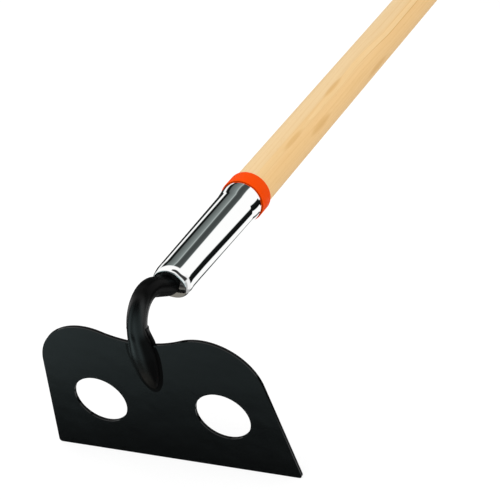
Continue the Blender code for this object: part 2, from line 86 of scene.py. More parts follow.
def axes_matrix(origin, x, y, z):
    """Make a matrix from an origin and three axes."""
    matrix = Matrix((x, y, z)).transposed().to_4x4()
    matrix.translation = origin
    return matrix


EDGE_POINT, EDGE_AXIS = mount("cutting_edge")
FRONT_POINT, FRONT_AXIS = mount("blade_front")
BACK_POINT = mount("blade_back")[0]
BUTT_POINT, BUTT_AXIS = mount("handle_butt")
RIGHT = Vector((1.0, 0.0, 0.0))
THICKNESS = (FRONT_POINT - BACK_POINT).dot(FRONT_AXIS)
MID_PLANE = THICKNESS / 2
BLADE_FRAME = axes_matrix(EDGE_POINT + FRONT_AXIS * MID_PLANE, RIGHT, -FRONT_AXIS, -EDGE_AXIS)
HANDLE_BUTT = (BUTT_POINT - FRONT_POINT).dot(FRONT_AXIS) / BUTT_AXIS.dot(FRONT_AXIS)
HANDLE_FRAME = axes_matrix(BUTT_POINT - BUTT_AXIS * HANDLE_BUTT,
                           RIGHT, RIGHT.cross(BUTT_AXIS), -BUTT_AXIS)
HANDLE_TILT = math.asin(BUTT_AXIS.dot(EDGE_AXIS))
AXIS_HEIGHT = (BLADE_FRAME.inverted() @ HANDLE_FRAME.translation).z


# Settings


def length(label, about, default):
    """Describe a length that a user may change."""
    return FloatProperty(name=label, description=about, default=default, unit="LENGTH", precision=4)


def angle(label, about, degrees):
    """Describe an angle that a user may change."""
    return FloatProperty(name=label, description=about, default=math.radians(degrees),
                         subtype="ANGLE")


def share(label, about, default):
    """Describe a share between 0 and 1 that a user may change."""
    return FloatProperty(name=label, description=about, default=default, min=0.0, max=1.0,
                         subtype="FACTOR")


def colour(label, about, default):
    """Describe a colour that a user may change."""
    return FloatVectorProperty(name=label, description=about, default=default, size=3,
                               min=0.0, max=1.0, subtype="COLOR")


def count(label, about, default):
    """Describe a count that a user may change."""
    return IntProperty(name=label, description=about, default=default, min=3)


class BladeSettings(bpy.types.PropertyGroup):
    """Sizes of the painted plate."""

    width: length("Width", "Between the sharp corners of the cutting edge", 0.254)
    height: length("Height", "From the cutting edge to the top of a lobe", 0.1517)
    corner_radius: length("Corner radius", "Radius of the two bottom corners", 0.003)
    edge_round: length("Edge round", "Rounding of the plate's edges", 0.0004)
    lobe_radius: length("Lobe radius", "Radius of the two lobes", 0.0528)
    lobe_spacing: length("Lobe spacing", "Between the middles of the lobes", 0.1184)
    dip_depth: length("Dip depth", "From the top of a lobe down to the middle of the dip", 0.0112)
    hole_radius: length("Hole radius", "Radius of the two mixing holes", 0.0267)
    hole_spacing: length("Hole spacing", "Between the middles of the holes", 0.1252)
    hole_height: length("Hole height", "From the cutting edge to the holes' middles", 0.0642)
    arc_step: angle("Arc step", "Fineness of the outline's arcs", 2.0)


class NeckSettings(bpy.types.PropertyGroup):
    """Sizes of the bent bar and its welds."""

    bar_radius: length("Bar radius", "Radius of the round bar", 0.0093)
    lower_bend: length("Lower bend", "Radius of the bend in front of the ferrule", 0.018)
    upper_bend: length("Upper bend", "Radius of the bend over the plate", 0.0268)
    rise: angle("Rise", "Slope of the bar between its bends", 37.0)
    bend_behind_front: length("Bend start", "From the ferrule's front back to the bend", 0.0062)
    foot_half_width: length("Foot half width", "Half the width of the flattened foot", 0.0136)
    foot_half_depth: length("Foot half depth", "Half the depth of the flattened foot", 0.0105)
    foot_below_dip: length("Foot below dip", "From the dip down to the foot's tip", 0.054)
    foot_above_dip: length("Foot above dip", "From the dip up to where the foot spreads", 0.0175)
    spread_share: share("Spread share", "Share of the foot in which it spreads", 0.42)
    nose_fullness: FloatProperty(name="Nose fullness", description="How far down the foot keeps its"
                                 " width", default=3.3, min=1.0)
    nose_sharpness: share("Nose sharpness", "How pointed the foot's tip is", 0.62)
    tang_radius: length("Tang radius", "Radius of the tang at its shoulder", 0.0065)
    tang_tip_radius: length("Tang tip radius", "Radius of the tang at its tip", 0.003)
    tang_length: length("Tang length", "Length of the tang in the handle", 0.100)
    weld_leg: length("Weld leg", "Reach of the front weld over the plate", 0.0032)
    weld_thin: share("Thin side", "Share of that reach on the foot's right side", 0.45)
    weld_pitch: length("Weld pitch", "Between two ripples of a weld", 0.0024)
    weld_ripple: share("Weld ripple", "How much the welds swell at a ripple", 0.06)
    saddle_above: length("Saddle above dip", "From the dip up to the rear weld's top", 0.0175)
    saddle_below: length("Saddle below dip", "From the dip down to the rear weld's end", 0.0125)
    saddle_throat: length("Saddle throat", "Thickness of the rear weld", 0.0010)
    sides: count("Sides", "Sides of the bar's section", 72)
    arc_step: angle("Arc step", "Fineness of the bends", 2.5)


class HandleSettings(bpy.types.PropertyGroup):
    """Sizes of the ferrule, the collar, the handle and the nail."""

    radius: length("Handle radius", "Radius of the wooden handle", 0.0204)
    length: length("Handle length", "Length of the wood, with its spigot", 1.372)
    butt_round: length("Butt round", "Rounding of the handle's butt", 0.005)
    ferrule_length: length("Ferrule length", "Length of the chrome tube", 0.170)
    front_setback: length("Setback", "From the ferrule's front to the handle's", 0.014)
    wall: length("Wall", "Thickness of the ferrule's metal", 0.0012)
    mouth_proud: length("Mouth proud", "How far the mouth stands proud of the wood", 0.0009)
    flare: length("Flare", "How much the radius grows at the mouth", 0.0013)
    taper: length("Taper", "How much the radius shrinks towards the front", 0.0014)
    shoulder: length("Shoulder", "Length of the front end's shoulder", 0.0120)
    shoulder_reach: length("Shoulder reach", "How far the shoulder rounds in at its end", 0.0020)
    shoulder_slope: share("Shoulder slope", "How steeply the shoulder narrows", 0.06)
    slant: length("Slant", "How far the end's lower edge lies behind its upper one", 0.009)
    flare_length: length("Flare length", "Length of the flare", 0.018)
    lip_length: length("Lip length", "Length of the straight lip at the mouth", 0.012)
    collar_length: length("Collar length", "Length of the plastic ring", 0.018)
    collar_overlap: length("Collar overlap", "How far the ring covers the ferrule", 0.009)
    collar_wall: length("Collar wall", "Thickness of the ring's wall", 0.0010)
    collar_round: length("Collar round", "Rounding of the ring's edges", 0.0004)
    nail_before_flare: length("Nail place", "From the flare to the nail", 0.012)
    nail_length: length("Nail length", "Length of the nail's shank", 0.012)
    nail_radius: length("Nail radius", "Radius of the nail's shank", 0.0012)
    nail_point: length("Nail point", "Length of the nail's point", 0.003)
    nail_head_radius: length("Nail head radius", "Radius of the nail's head", 0.0030)
    nail_head_height: length("Nail head height", "Height of the nail's head", 0.0010)
    sides: count("Sides", "Sides of the turned pieces", 128)


class FinishSettings(bpy.types.PropertyGroup):
    """Colours of the finishes."""

    paint: colour("Paint", "Black paint", (0.0010, 0.0012, 0.0013))
    chrome: colour("Chrome", "Chrome plate", (0.985, 0.990, 0.985))
    plastic: colour("Plastic", "Orange collar", (1.0, 0.076, 0.0))
    steel: colour("Steel", "Bare steel of the nail", (0.55, 0.55, 0.55))
    early_wood: colour("Early wood", "Pale wood between the rings", (0.990, 0.685, 0.335))
    tan_wood: colour("Tan wood", "Greyer wood on the upper side", (0.945, 0.685, 0.372))
    pink_wood: colour("Pink wood", "Warmer wood on the right-hand side", (1.000, 0.655, 0.295))
    late_wood: colour("Late wood", "Brown of the ring lines", (0.720, 0.370, 0.075))


class StageSettings(bpy.types.PropertyGroup):
    """Light, floor and camera."""

    dome_light: FloatProperty(name="Dome light", description="Level of the light from all round",
                              default=0.84, min=0.0)
    key_light: FloatProperty(name="Key light", description="Level that the key lamp adds",
                             default=0.20, min=0.0)
    fill_light: FloatProperty(name="Fill light", description="Level that the fill lamp adds",
                              default=0.08, min=0.0)
    lamp_distance: length("Lamp distance", "From a lamp to the ferrule", 3.0)
    floor_size: length("Floor size", "Side of the square floor", 30.0)
    floor_colour: colour("Floor", "Colour that the floor throws back", (0.80, 0.80, 0.80))
    lens: FloatProperty(name="Lens", description="Focal length on a 36 mm sensor",
                        default=119.83, min=1.0, unit="CAMERA")


# Nodes


def rgba(shade):
    """Add an opaque alpha to a colour."""
    return (*shade, 1.0)


def grey(level):
    """Make a grey colour."""
    return (level, level, level, 1.0)


class Value:
    """A node's output that can stand in a Python sum."""

    def __init__(self, graph, socket):
        self.graph = graph
        self.socket = socket

    def __add__(self, other):
        return self.graph.math("ADD", self, other)

    def __radd__(self, other):
        return self.graph.math("ADD", other, self)

    def __sub__(self, other):
        return self.graph.math("SUBTRACT", self, other)

    def __rsub__(self, other):
        return self.graph.math("SUBTRACT", other, self)

    def __mul__(self, other):
        return self.graph.math("MULTIPLY", self, other)

    def __rmul__(self, other):
        return self.graph.math("MULTIPLY", other, self)

    def __truediv__(self, other):
        return self.graph.math("DIVIDE", self, other)

    def __rtruediv__(self, other):
        return self.graph.math("DIVIDE", other, self)


class Graph:
    """A node tree that is written as Python expressions."""

    def __init__(self, tree):
        self.tree = tree
        tree.nodes.clear()

    def node(self, kind, settings=None, inputs=None):
        """Add a node: its settings first, then the values or links of its sockets."""
        made = self.tree.nodes.new(kind)
        for name, setting in (settings or {}).items():
            if name == "stops":
                self.set_stops(made.color_ramp, setting)
            else:
                setattr(made, name, setting)
        for key, given in (inputs or {}).items():
            if isinstance(given, Value):
                self.tree.links.new(given.socket, made.inputs[key])
            else:
                made.inputs[key].default_value = given
        return made

    def set_stops(self, ramp, stops):
        """Give a ramp its stops, as pairs of place and grey level."""
        while len(ramp.elements) < len(stops):
            ramp.elements.new(1.0)
        for element, (place, level) in zip(ramp.elements, stops):
            element.position = place
            element.color = grey(level)

    def value(self, kind, settings=None, inputs=None, output=0):
        """Add a node and wrap one of its outputs."""
        return Value(self, self.node(kind, settings, inputs).outputs[output])

    def math(self, operation, *values):
        """Add a Math node."""
        return self.value("ShaderNodeMath", {"operation": operation}, dict(enumerate(values)))

    def smooth(self, value, low, high):
        """Rise smoothly from 0 to 1 as a value goes from low to high; low may be the larger."""
        return self.value("ShaderNodeMapRange", {"interpolation_type": "SMOOTHSTEP"},
                          {"Value": value, "From Min": low, "From Max": high})

    def window(self, value, low, high, soft):
        """Give 1 between two values and 0 outside them, with soft edges."""
        return (self.smooth(value, low - soft, low + soft)
                * self.smooth(value, high + soft, high - soft))

    def mix(self, factor, first, second):
        """Mix two colours."""
        return self.value("ShaderNodeMix", {"data_type": "RGBA"},
                          {0: factor, 6: first, 7: second}, output=2)

    def noise(self, vector, scale, detail=2.0):
        """Add a noise; its mean is about 0.5."""
        return self.value("ShaderNodeTexNoise", None,
                          {"Vector": vector, "Scale": scale, "Detail": detail})

    def drawn_noise(self, vector, along, scale, detail=2.0):
        """Add a noise drawn out along Z, whose scale there is only a share of the one across."""
        squeezed = self.value("ShaderNodeVectorMath", {"operation": "MULTIPLY"},
                              {0: vector, 1: (1.0, 1.0, along)})
        return self.noise(squeezed, scale, detail)

    def ramp(self, stops, place):
        """Read a ramp of stops at a place between 0 and 1."""
        return self.value("ShaderNodeValToRGB", {"stops": stops}, {0: place})

    def largest(self, first, *others):
        """Take the largest of some numbers."""
        for other in others:
            first = self.math("MAXIMUM", first, other)
        return first

    def held(self, value, low, high):
        """Keep a number between two limits."""
        return self.math("MINIMUM", self.largest(value, low), high)

    def bearing(self, x, y):
        """Give the angle of (x, y) in degrees, from +Y towards +X."""
        return self.math("DEGREES", self.math("ARCTAN2", x, y))

    def parts(self, vector):
        """Split a vector in its three numbers."""
        made = self.node("ShaderNodeSeparateXYZ", None, {0: vector})
        return [Value(self, socket) for socket in made.outputs]

    def in_frame(self, vector, matrix):
        """Read a place or a direction in one of the hoe's frames."""
        return self.value("ShaderNodeMapping", {"vector_type": "TEXTURE"}, {
            "Vector": vector, "Location": matrix.translation, "Rotation": matrix.to_euler()})


# Materials

DUST = grey(0.008)
# Dull near-black paint: worn thin on the plate's edges, and painted shade on the bar and welds
DULL_PAINT_AND_SHADE = grey(0.0035)
SMUDGED_CHROME = grey(0.94)
DULL_STEEL = grey(0.28)
RIM_SKIN = 0.0006
RING_WIDTH = 1 / 430.0

# Middle of the wood's flat-sawn band: shares of the band's reach and of its span in degrees
BAND_REACH = 1.5
BAND_SPAN = 60.0
BAND_MIDDLE = (
    (0.16, 0.57), (0.31, 0.59), (0.338, 0.52), (0.367, 0.58), (0.40, 0.69), (0.48, 0.69),
    (0.60, 0.60), (0.73, 0.74), (0.86, 0.55), (0.97, 0.64))

# Stains in the wood: angle, place, half width in degrees and half length
STAINS = (
    (26.0, 0.449, 9.0, 0.030), (73.0, 0.386, 13.0, 0.032), (40.0, 0.330, 9.0, 0.030),
    (97.0, 0.550, 14.0, 0.035), (-70.0, 0.700, 20.0, 0.050), (160.0, 0.900, 25.0, 0.060))


def new_material(name):
    """Start a material; return it with its graph and its object coordinates."""
    made = bpy.data.materials.new(name)
    made.use_nodes = True
    graph = Graph(made.node_tree)
    return made, graph, graph.value("ShaderNodeTexCoord", None, None, output=3)


def principled(graph, inputs):
    """Add a Principled shader."""
    return graph.value("ShaderNodeBsdfPrincipled", None, inputs)


def show(graph, surface):
    """Give a material its surface."""
    graph.node("ShaderNodeOutputMaterial", None, {"Surface": surface})


def bump(graph, height, strength, distance):
    """Turn a height into a bumped normal."""
    return graph.value("ShaderNodeBump", None, {
        "Strength": strength, "Distance": distance, "Height": height})


# A spot on the paint is its place (across, back, high) in the blade's frame


def dull_rim(graph, spot):
    """Mark the plate's cut edges, which hold little paint."""
    return graph.window(spot[1], RIM_SKIN, THICKNESS - RIM_SKIN, RIM_SKIN / 3) * 0.85


def painted_shade_ends(graph, spot):
    """Mark painted shade: the bar's upper end by the ferrule, the foot's right flank and its tip."""
    across, back, high = spot
    # These masks put near-black dull paint where painted shade darkens the bar and the welds
    flank = graph.smooth(across, 0.002, 0.007) * graph.smooth(high, 0.160, 0.148) * 0.88
    upper = graph.smooth(back + 0.9 * (high - 0.165), 0.018, 0.038) * 0.90
    tip = graph.smooth(high, 0.112, 0.092) * 0.75
    return graph.largest(flank, upper, tip)


def paint_material(name, dull_or_shade_where, settings, lumps, rough, shine):
    """Make satin black paint that is dull in places: worn thin at edges, or painted shade.

    Lumps is how strongly the metal's unevenness shows through it, and shine its reflection.
    """
    made, graph, place = new_material(name)
    peel = graph.noise(place, 900.0, 3.0)
    drift = graph.noise(place, 28.0)
    dust = graph.smooth(graph.noise(place, 2600.0, 1.0), 0.66, 0.74)
    glossy = principled(graph, {
        "Base Color": graph.mix(dust * 0.35, rgba(settings.paint), DUST),
        "Roughness": rough + 0.03 * drift + 0.03 * peel,
        "Specular IOR Level": shine,
        "Normal": bump(graph, peel * 0.1 + drift * lumps, 0.5, 0.0004)})
    # The dull near-black paint: thin worn paint on the plate's edges, painted shade on the bar and
    # welds
    dull = graph.value("ShaderNodeBsdfDiffuse", None, {"Color": DULL_PAINT_AND_SHADE})
    spot = graph.parts(graph.in_frame(place, BLADE_FRAME))
    show(graph, graph.value("ShaderNodeMixShader", None, {
        0: dull_or_shade_where(graph, spot), 1: glossy, 2: dull}))
    return made


def chrome_material(settings):
    """Make bright chrome plate with fine drawing marks along the tube and faint smudges."""
    made, graph, place = new_material("ferrule chrome")
    drawn = graph.drawn_noise(graph.in_frame(place, HANDLE_FRAME), 0.02, 1500.0)
    smudge = graph.noise(place, 60.0, 3.0)
    smudged = graph.smooth(smudge, 0.5, 0.8) * 0.3
    show(graph, principled(graph, {
        "Base Color": graph.mix(smudged, rgba(settings.chrome), SMUDGED_CHROME),
        "Metallic": 1.0,
        "Roughness": 0.008 + 0.012 * drawn + 0.012 * smudge,
        "Normal": bump(graph, drawn, 0.04, 0.0001)}))
    return made


def plastic_material(settings):
    """Make moulded orange plastic with a fine grain and deeper clouds."""
    made, graph, place = new_material("collar plastic")
    local = graph.in_frame(place, HANDLE_FRAME)
    grain = graph.noise(local, 1800.0)
    cloud = graph.smooth(graph.noise(local, 90.0), 0.55, 0.8) * 0.4
    deep = tuple(0.80 * channel for channel in settings.plastic)
    show(graph, principled(graph, {
        "Base Color": graph.mix(cloud, rgba(settings.plastic), rgba(deep)),
        "Roughness": 0.42 + 0.12 * grain,
        "Specular IOR Level": 0.03,
        "Normal": bump(graph, grain, 0.15, 0.0002)}))
    return made


def steel_material(settings):
    """Make plain steel with turned marks and a few dull spots."""
    made, graph, place = new_material("nail steel")
    marks = graph.noise(place, 2500.0, 3.0)
    spots = graph.smooth(graph.noise(place, 700.0), 0.55, 0.7)
    show(graph, principled(graph, {
        "Base Color": graph.mix(spots, rgba(settings.steel), DULL_STEEL),
        "Metallic": 1.0,
        "Roughness": 0.28 + 0.2 * marks + 0.15 * spots,
        "Normal": bump(graph, marks, 0.2, 0.0002)}))
    return made


# Wood: angles are degrees about the handle's axis, from straight up towards +X, and places are
# metres down that axis from the plate


def wood_material(settings):
    """Make clear-varnished pale wood, sawn so that one ring just touches the turned surface.

    Rings lie on planes across the handle's section, which turn slowly along it.
    """
    made, graph, place = new_material("handle wood")
    local = graph.in_frame(place, HANDLE_FRAME)
    x, y, z = graph.parts(local)
    down = 0.0 - z
    around = graph.bearing(x, y)

    middle = BAND_SPAN * graph.ramp(BAND_MIDDLE, down / BAND_REACH)
    off = around - middle + 4.0 * (graph.drawn_noise(local, 0.12, 70.0) - 0.5)
    from_axis = graph.math("SQRT", x * x + y * y)
    deep = from_axis * graph.math("COSINE", graph.math("RADIANS", off))
    ring = deep / RING_WIDTH + 2.2 * graph.drawn_noise(local, 0.05, 45.0)
    late = graph.smooth(graph.math("FRACT", ring), 0.45, 0.98)
    fibre = graph.drawn_noise(local, 0.022, 520.0, 4.0)
    coarse = graph.drawn_noise(local, 0.05, 130.0, 3.0)
    pore = graph.smooth(graph.drawn_noise(local, 0.06, 1500.0, 1.0), 0.66, 0.76)

    def line(offset, half_width, strength):
        """Draw a ring line at an angle from the band's middle."""
        reach = graph.math("ABSOLUTE", off - offset)
        return graph.smooth(reach, half_width, 0.2 * half_width) * strength

    def stain(at_angle, at_place, half_angle, half_length):
        """Mark a soft oval."""
        across = (around - at_angle) / half_angle
        along = (down - at_place) / half_length
        return graph.smooth(across * across + along * along, 1.0, 0.0)

    far = graph.smooth(down, 0.49, 0.60)
    side = graph.smooth(around, 10.0, 62.0) * graph.smooth(around, 150.0, 120.0)
    base = graph.mix(side, rgba(settings.tan_wood), rgba(settings.pink_wood))
    base = graph.mix(graph.window(off, -8.5, 8.5, 2.5), base, rgba(settings.early_wood))
    for darker in (late * 0.12,
                   graph.smooth(coarse, 0.4, 0.75) * 0.11,
                   line(9.0, 1.5, 0.14 + 0.66 * far),
                   line(-8.5, 1.8, 0.10 + 0.14 * far),
                   sum(stain(*oval) for oval in STAINS) * 0.42,
                   graph.smooth(fibre, 0.35, 0.75) * 0.07,
                   pore * 0.22):
        base = graph.mix(darker, base, rgba(settings.late_wood))
    show(graph, principled(graph, {
        "Base Color": base,
        "Roughness": 0.46 + 0.14 * fibre,
        "Specular IOR Level": 0.3,
        "Normal": bump(graph, fibre - pore * 0.6, 0.12, 0.0003)}))
    return made


# Meshes


def arc_points(centre, radius, start, end, step):
    """List points along an arc, ends included; angles are counter-clockwise from +X."""
    steps = max(2, math.ceil(abs(end - start) / step))
    angles = [start + (end - start) * i / steps for i in range(steps + 1)]
    return [(centre[0] + radius * math.cos(a), centre[1] + radius * math.sin(a)) for a in angles]


def new_object(name, data):
    """Put data in the scene."""
    made = bpy.data.objects.new(name, data)
    bpy.context.scene.collection.objects.link(made)
    return made


def drop(*objects):
    """Remove helpers."""
    for old in objects:
        bpy.data.objects.remove(old, do_unlink=True)


def mesh_of(name, shape):
    """Turn a bmesh into a mesh."""
    mesh = bpy.data.meshes.new(name)
    shape.to_mesh(mesh)
    shape.free()
    return mesh


def evaluated_mesh(source):
    """Read an object as its modifiers leave it."""
    bpy.context.view_layer.update()
    graph = bpy.context.evaluated_depsgraph_get()
    return bpy.data.meshes.new_from_object(source.evaluated_get(graph), depsgraph=graph)


def tidy_mesh(mesh):
    """Merge doubles and turn all faces outwards."""
    shape = bmesh.new()
    shape.from_mesh(mesh)
    bmesh.ops.remove_doubles(shape, verts=shape.verts, dist=MERGE_DISTANCE)
    bmesh.ops.recalc_face_normals(shape, faces=shape.faces)
    shape.to_mesh(mesh)
    shape.free()
    mesh.shade_smooth()
    mesh.set_sharp_from_angle(angle=SMOOTH_ANGLE)
    return mesh


def flat_form(name, outlines, back, front):
    """Cut a plate from closed (x, z) outlines, between two planes of constant y."""
    curve = bpy.data.curves.new(name, "CURVE")
    curve.dimensions = "2D"
    curve.fill_mode = "BOTH"
    curve.extrude = (back - front) / 2
    for outline in outlines:
        spline = curve.splines.new("POLY")
        spline.points.add(len(outline) - 1)
        for point, (x, z) in zip(spline.points, outline):
            point.co = (x, z, 0.0, 1.0)
        spline.use_cyclic_u = True
    drawn = new_object(name + " outline", curve)
    mesh = tidy_mesh(evaluated_mesh(drawn))
    drop(drawn)
    upright = Matrix.Rotation(math.radians(90), 4, "X")
    mesh.transform(Matrix.Translation((0.0, (front + back) / 2, 0.0)) @ upright)
    return new_object(name, mesh)


def lofted_form(name, rings):
    """Skin a row of rings that have the same number of points, and close both ends."""
    shape = bmesh.new()
    rows = [[shape.verts.new(point) for point in ring] for ring in rings]
    for row, after in zip(rows, rows[1:]):
        for i, vertex in enumerate(row):
            j = (i + 1) % len(row)
            shape.faces.new((vertex, row[j], after[j], after[i]))
    shape.faces.new(rows[0])
    shape.faces.new(rows[-1])
    bmesh.ops.recalc_face_normals(shape, faces=shape.faces)
    return new_object(name, mesh_of(name, shape))


def cut(form, cutter):
    """Take a cutter out of a form."""
    boolean = form.modifiers.new("cut " + cutter.name, "BOOLEAN")
    boolean.operation = "DIFFERENCE"
    boolean.solver = "EXACT"
    boolean.object = cutter


def finish_piece(name, mesh, matrix, material, node):
    """Make the finished piece at the origin, with its place in its mesh."""
    mesh.name = name
    mesh.transform(matrix)
    mesh.materials.clear()
    mesh.materials.append(material)
    piece = new_object(name, mesh)
    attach(piece, BODY)
    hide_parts(node)
    return piece


# Node trees that make geometry


def new_tree(name, inputs):
    """Make a geometry tree with a Geometry input and others, given as pairs of name and type."""
    tree = bpy.data.node_groups.new(name, "GeometryNodeTree")
    tree.interface.new_socket("Geometry", in_out="INPUT", socket_type="NodeSocketGeometry")
    tree.interface.new_socket("Geometry", in_out="OUTPUT", socket_type="NodeSocketGeometry")
    for label, kind in inputs:
        tree.interface.new_socket(label, in_out="INPUT", socket_type=kind)
    graph = Graph(tree)
    entry = graph.node("NodeGroupInput")
    return tree, graph, [Value(graph, socket) for socket in entry.outputs[:-1]]


def end_tree(graph, geometry, material):
    """Close a tree: smooth shading, real geometry and its material."""
    smooth = graph.value("GeometryNodeSetShadeSmooth", None, {"Geometry": geometry})
    real = graph.value("GeometryNodeRealizeInstances", None, {"Geometry": smooth})
    painted = graph.value("GeometryNodeSetMaterial", None, {"Geometry": real, "Material": material})
    graph.node("NodeGroupOutput", None, {"Geometry": painted})


def grown_mesh(name, source, tree, inputs):
    """Run a tree on a mesh with named inputs, and return the plain mesh that it makes."""
    carrier = new_object(name, source)
    modifier = carrier.modifiers.new(tree.name, "NODES")
    modifier.node_group = tree
    for item in tree.interface.items_tree:
        if item.in_out == "INPUT" and item.name in inputs:
            modifier[item.identifier] = inputs[item.name]
    mesh = evaluated_mesh(carrier)
    drop(carrier)
    return tidy_mesh(mesh)


def turned_tree():
    """Make the tree that turns a row of profile points (x is the radius) about Z."""
    tree, graph, (profile, sides, material) = new_tree("turned piece", (
        ("Sides", "NodeSocketInt"), ("Material", "NodeSocketMaterial")))
    stations = graph.value("GeometryNodeAttributeDomainSize", {"component": "MESH"},
                           {"Geometry": profile})
    across = sides + 1.0
    grid = graph.value("GeometryNodeMeshGrid", None, {"Vertices X": stations, "Vertices Y": across})
    index = graph.value("GeometryNodeInputIndex")
    station = graph.math("FLOOR", (index + 0.5) / across)
    turn = (index - station * across) * (2 * math.pi) / sides
    position = graph.value("GeometryNodeInputPosition")
    point = graph.value("GeometryNodeSampleIndex", {"data_type": "FLOAT_VECTOR"},
                        {"Geometry": profile, "Value": position, "Index": station})
    radius, _, height = graph.parts(point)
    place = graph.value("ShaderNodeCombineXYZ", None, {
        "X": radius * graph.math("COSINE", turn), "Y": radius * graph.math("SINE", turn),
        "Z": height})
    skin = graph.value("GeometryNodeSetPosition", None, {"Geometry": grid, "Position": place})
    closed = graph.value("GeometryNodeMergeByDistance", None,
                         {"Geometry": skin, "Distance": MERGE_DISTANCE})
    end_tree(graph, closed, material)
    return tree


def bead_tree():
    """Make the tree that runs a weld's section along a path lying in the XY plane.

    The path's points carry the attribute bead, the section's size there, and the weld swells a
    little at each ripple.
    """
    tree, graph, (path, section, pitch, ripple, material) = new_tree("weld bead", (
        ("Section", "NodeSocketObject"), ("Pitch", "NodeSocketFloat"),
        ("Ripple", "NodeSocketFloat"), ("Material", "NodeSocketMaterial")))
    rail = graph.value("GeometryNodeMeshToCurve", None, {"Mesh": path})
    upright = graph.value("GeometryNodeSetCurveNormal", {"mode": "Z_UP"}, {"Curve": rail})
    run = graph.value("GeometryNodeSplineParameter", None, None, output=1)
    bead = graph.value("GeometryNodeInputNamedAttribute", {"data_type": "FLOAT"}, {"Name": "bead"})
    swell = 1.0 + ripple * graph.math("SINE", run * (2 * math.pi) / pitch)
    sized = graph.value("GeometryNodeSetCurveRadius", None, {"Curve": upright, "Radius": bead * swell})
    shape = graph.value("GeometryNodeObjectInfo", None, {"Object": section}, output=4)
    outline = graph.value("GeometryNodeMeshToCurve", None, {"Mesh": shape})
    skin = graph.value("GeometryNodeCurveToMesh", None, {
        "Curve": sized, "Profile Curve": outline, "Fill Caps": True})
    end_tree(graph, skin, material)
    return tree


def row_mesh(name, points, closed=False):
    """Make a mesh of points joined in a row."""
    mesh = bpy.data.meshes.new(name)
    edges = [(i, i + 1) for i in range(len(points) - 1)]
    if closed:
        edges.append((len(points) - 1, 0))
    mesh.from_pydata(points, edges, [])
    return mesh


def turned_mesh(name, profile, material, sides):
    """Turn a profile of (radius, z) points about Z."""
    row = row_mesh(name + " profile", [(radius, 0.0, z) for radius, z in profile])
    return grown_mesh(name, row, turned_tree(), {"Sides": sides, "Material": material})


# Blade

# The corners' and the holes' arcs are coarser than the lobes' by these factors
CORNER_COARSENESS = 4.0
HOLE_COARSENESS = 1.5
BEVEL_SEGMENTS = 3
BEVEL_ANGLE = math.radians(60)


def dip_height(blade):
    """Give the height of the dip's middle."""
    return blade.height - blade.dip_depth


def dip_arc(blade):
    """Find the centre and the radius of the hollow arc that is tangent to both lobes."""
    lobe_x = blade.lobe_spacing / 2
    above = blade.lobe_radius - blade.dip_depth
    radius = (lobe_x ** 2 + above ** 2 - blade.lobe_radius ** 2) / (2 * blade.dip_depth)
    return (0.0, dip_height(blade) + radius), radius


def blade_half_outline(blade):
    """List the outline's points for x > 0, from the bottom corner up to the dip's middle."""
    lobe = (blade.lobe_spacing / 2, blade.height - blade.lobe_radius)
    corner = (blade.width / 2, 0.0)
    reach = math.dist(corner, lobe)
    towards_corner = math.atan2(corner[1] - lobe[1], corner[0] - lobe[0])
    side_normal = towards_corner + math.acos(blade.lobe_radius / reach)
    inset = blade.corner_radius / math.tan((math.pi / 2 - side_normal) / 2)
    rounded = (corner[0] - inset, blade.corner_radius)
    dip, radius = dip_arc(blade)
    towards_dip = math.atan2(dip[1] - lobe[1], dip[0] - lobe[0])
    step = blade.arc_step
    points = arc_points(rounded, blade.corner_radius, -math.pi / 2, side_normal,
                        CORNER_COARSENESS * step)
    points += arc_points(lobe, blade.lobe_radius, side_normal, towards_dip, step)
    points += arc_points(dip, radius, towards_dip - math.pi, -math.pi / 2, step)[1:]
    return points


def under_dip(name, blade, front, back, rise):
    """Make a cutter that fills the space under the dip's arc, raised by a clearance."""
    centre, radius = dip_arc(blade)
    half_angle = math.asin(blade.lobe_spacing / 2 / (radius + blade.lobe_radius))
    top = arc_points(centre, radius - rise, -math.pi / 2 - half_angle, -math.pi / 2 + half_angle,
                     blade.arc_step)
    return flat_form(name, [top + [(top[-1][0], 0.0), (top[0][0], 0.0)]], back, front)


class HOE_OT_blade(bpy.types.Operator):
    """Make the painted plate with its two lobes and its two mixing holes"""

    bl_idname = "hoe.blade"
    bl_label = "Blade"

    def execute(self, context):
        blade = context.scene.hoe_blade
        half = blade_half_outline(blade)
        outlines = [half + [(-x, z) for x, z in reversed(half[:-1])]]
        for side in (-1, 1):
            middle = (side * blade.hole_spacing / 2, blade.hole_height)
            outlines.append(arc_points(middle, blade.hole_radius, 0.0, 2 * math.pi,
                                       HOLE_COARSENESS * blade.arc_step)[:-1])
        form = flat_form("blade form", outlines, THICKNESS, 0.0)
        rounding = form.modifiers.new("rounded edges", "BEVEL")
        rounding.width = blade.edge_round
        rounding.segments = BEVEL_SEGMENTS
        rounding.limit_method = "ANGLE"
        rounding.angle_limit = BEVEL_ANGLE
        rounding.harden_normals = True
        mesh = evaluated_mesh(form)
        drop(form)
        paint = paint_material("blade paint", dull_rim, context.scene.hoe_finish,
                               lumps=0.6, rough=0.08, shine=0.5)
        finish_piece("painted_blade", mesh, BLADE_FRAME, paint, "blade")
        return {"FINISHED"}


# Neck: a station is (y, z, heading), and the bar heads along (-cos, sin) of its heading

LEVEL_STEPS = 4
SLOPE_STEPS = 6
FOOT_STEPS = 90
WELD_STEPS = 110

# Front weld: its stations crowd towards the foot's tip. Its bead is only a share of its full size
# where the foot sinks into the plate and at the tip, and its section leans in under the foot by a
# share of its leg
CROWDING = 1.6
SUNK_SIZE = 0.25
TIP_SIZE = 0.35
LEAN = 0.4
SECTION_STEPS = 12


def handle_front(turned):
    """Give the place of the wood's front end down the handle's axis."""
    return HANDLE_BUTT - turned.length


def ferrule_front(turned):
    """Give the place of the ferrule's front face down the handle's axis."""
    return handle_front(turned) - turned.front_setback


def axis_station(distance):
    """Give the station on the handle's axis at a distance down it."""
    return (distance * math.cos(HANDLE_TILT), AXIS_HEIGHT - distance * math.sin(HANDLE_TILT),
            HANDLE_TILT)


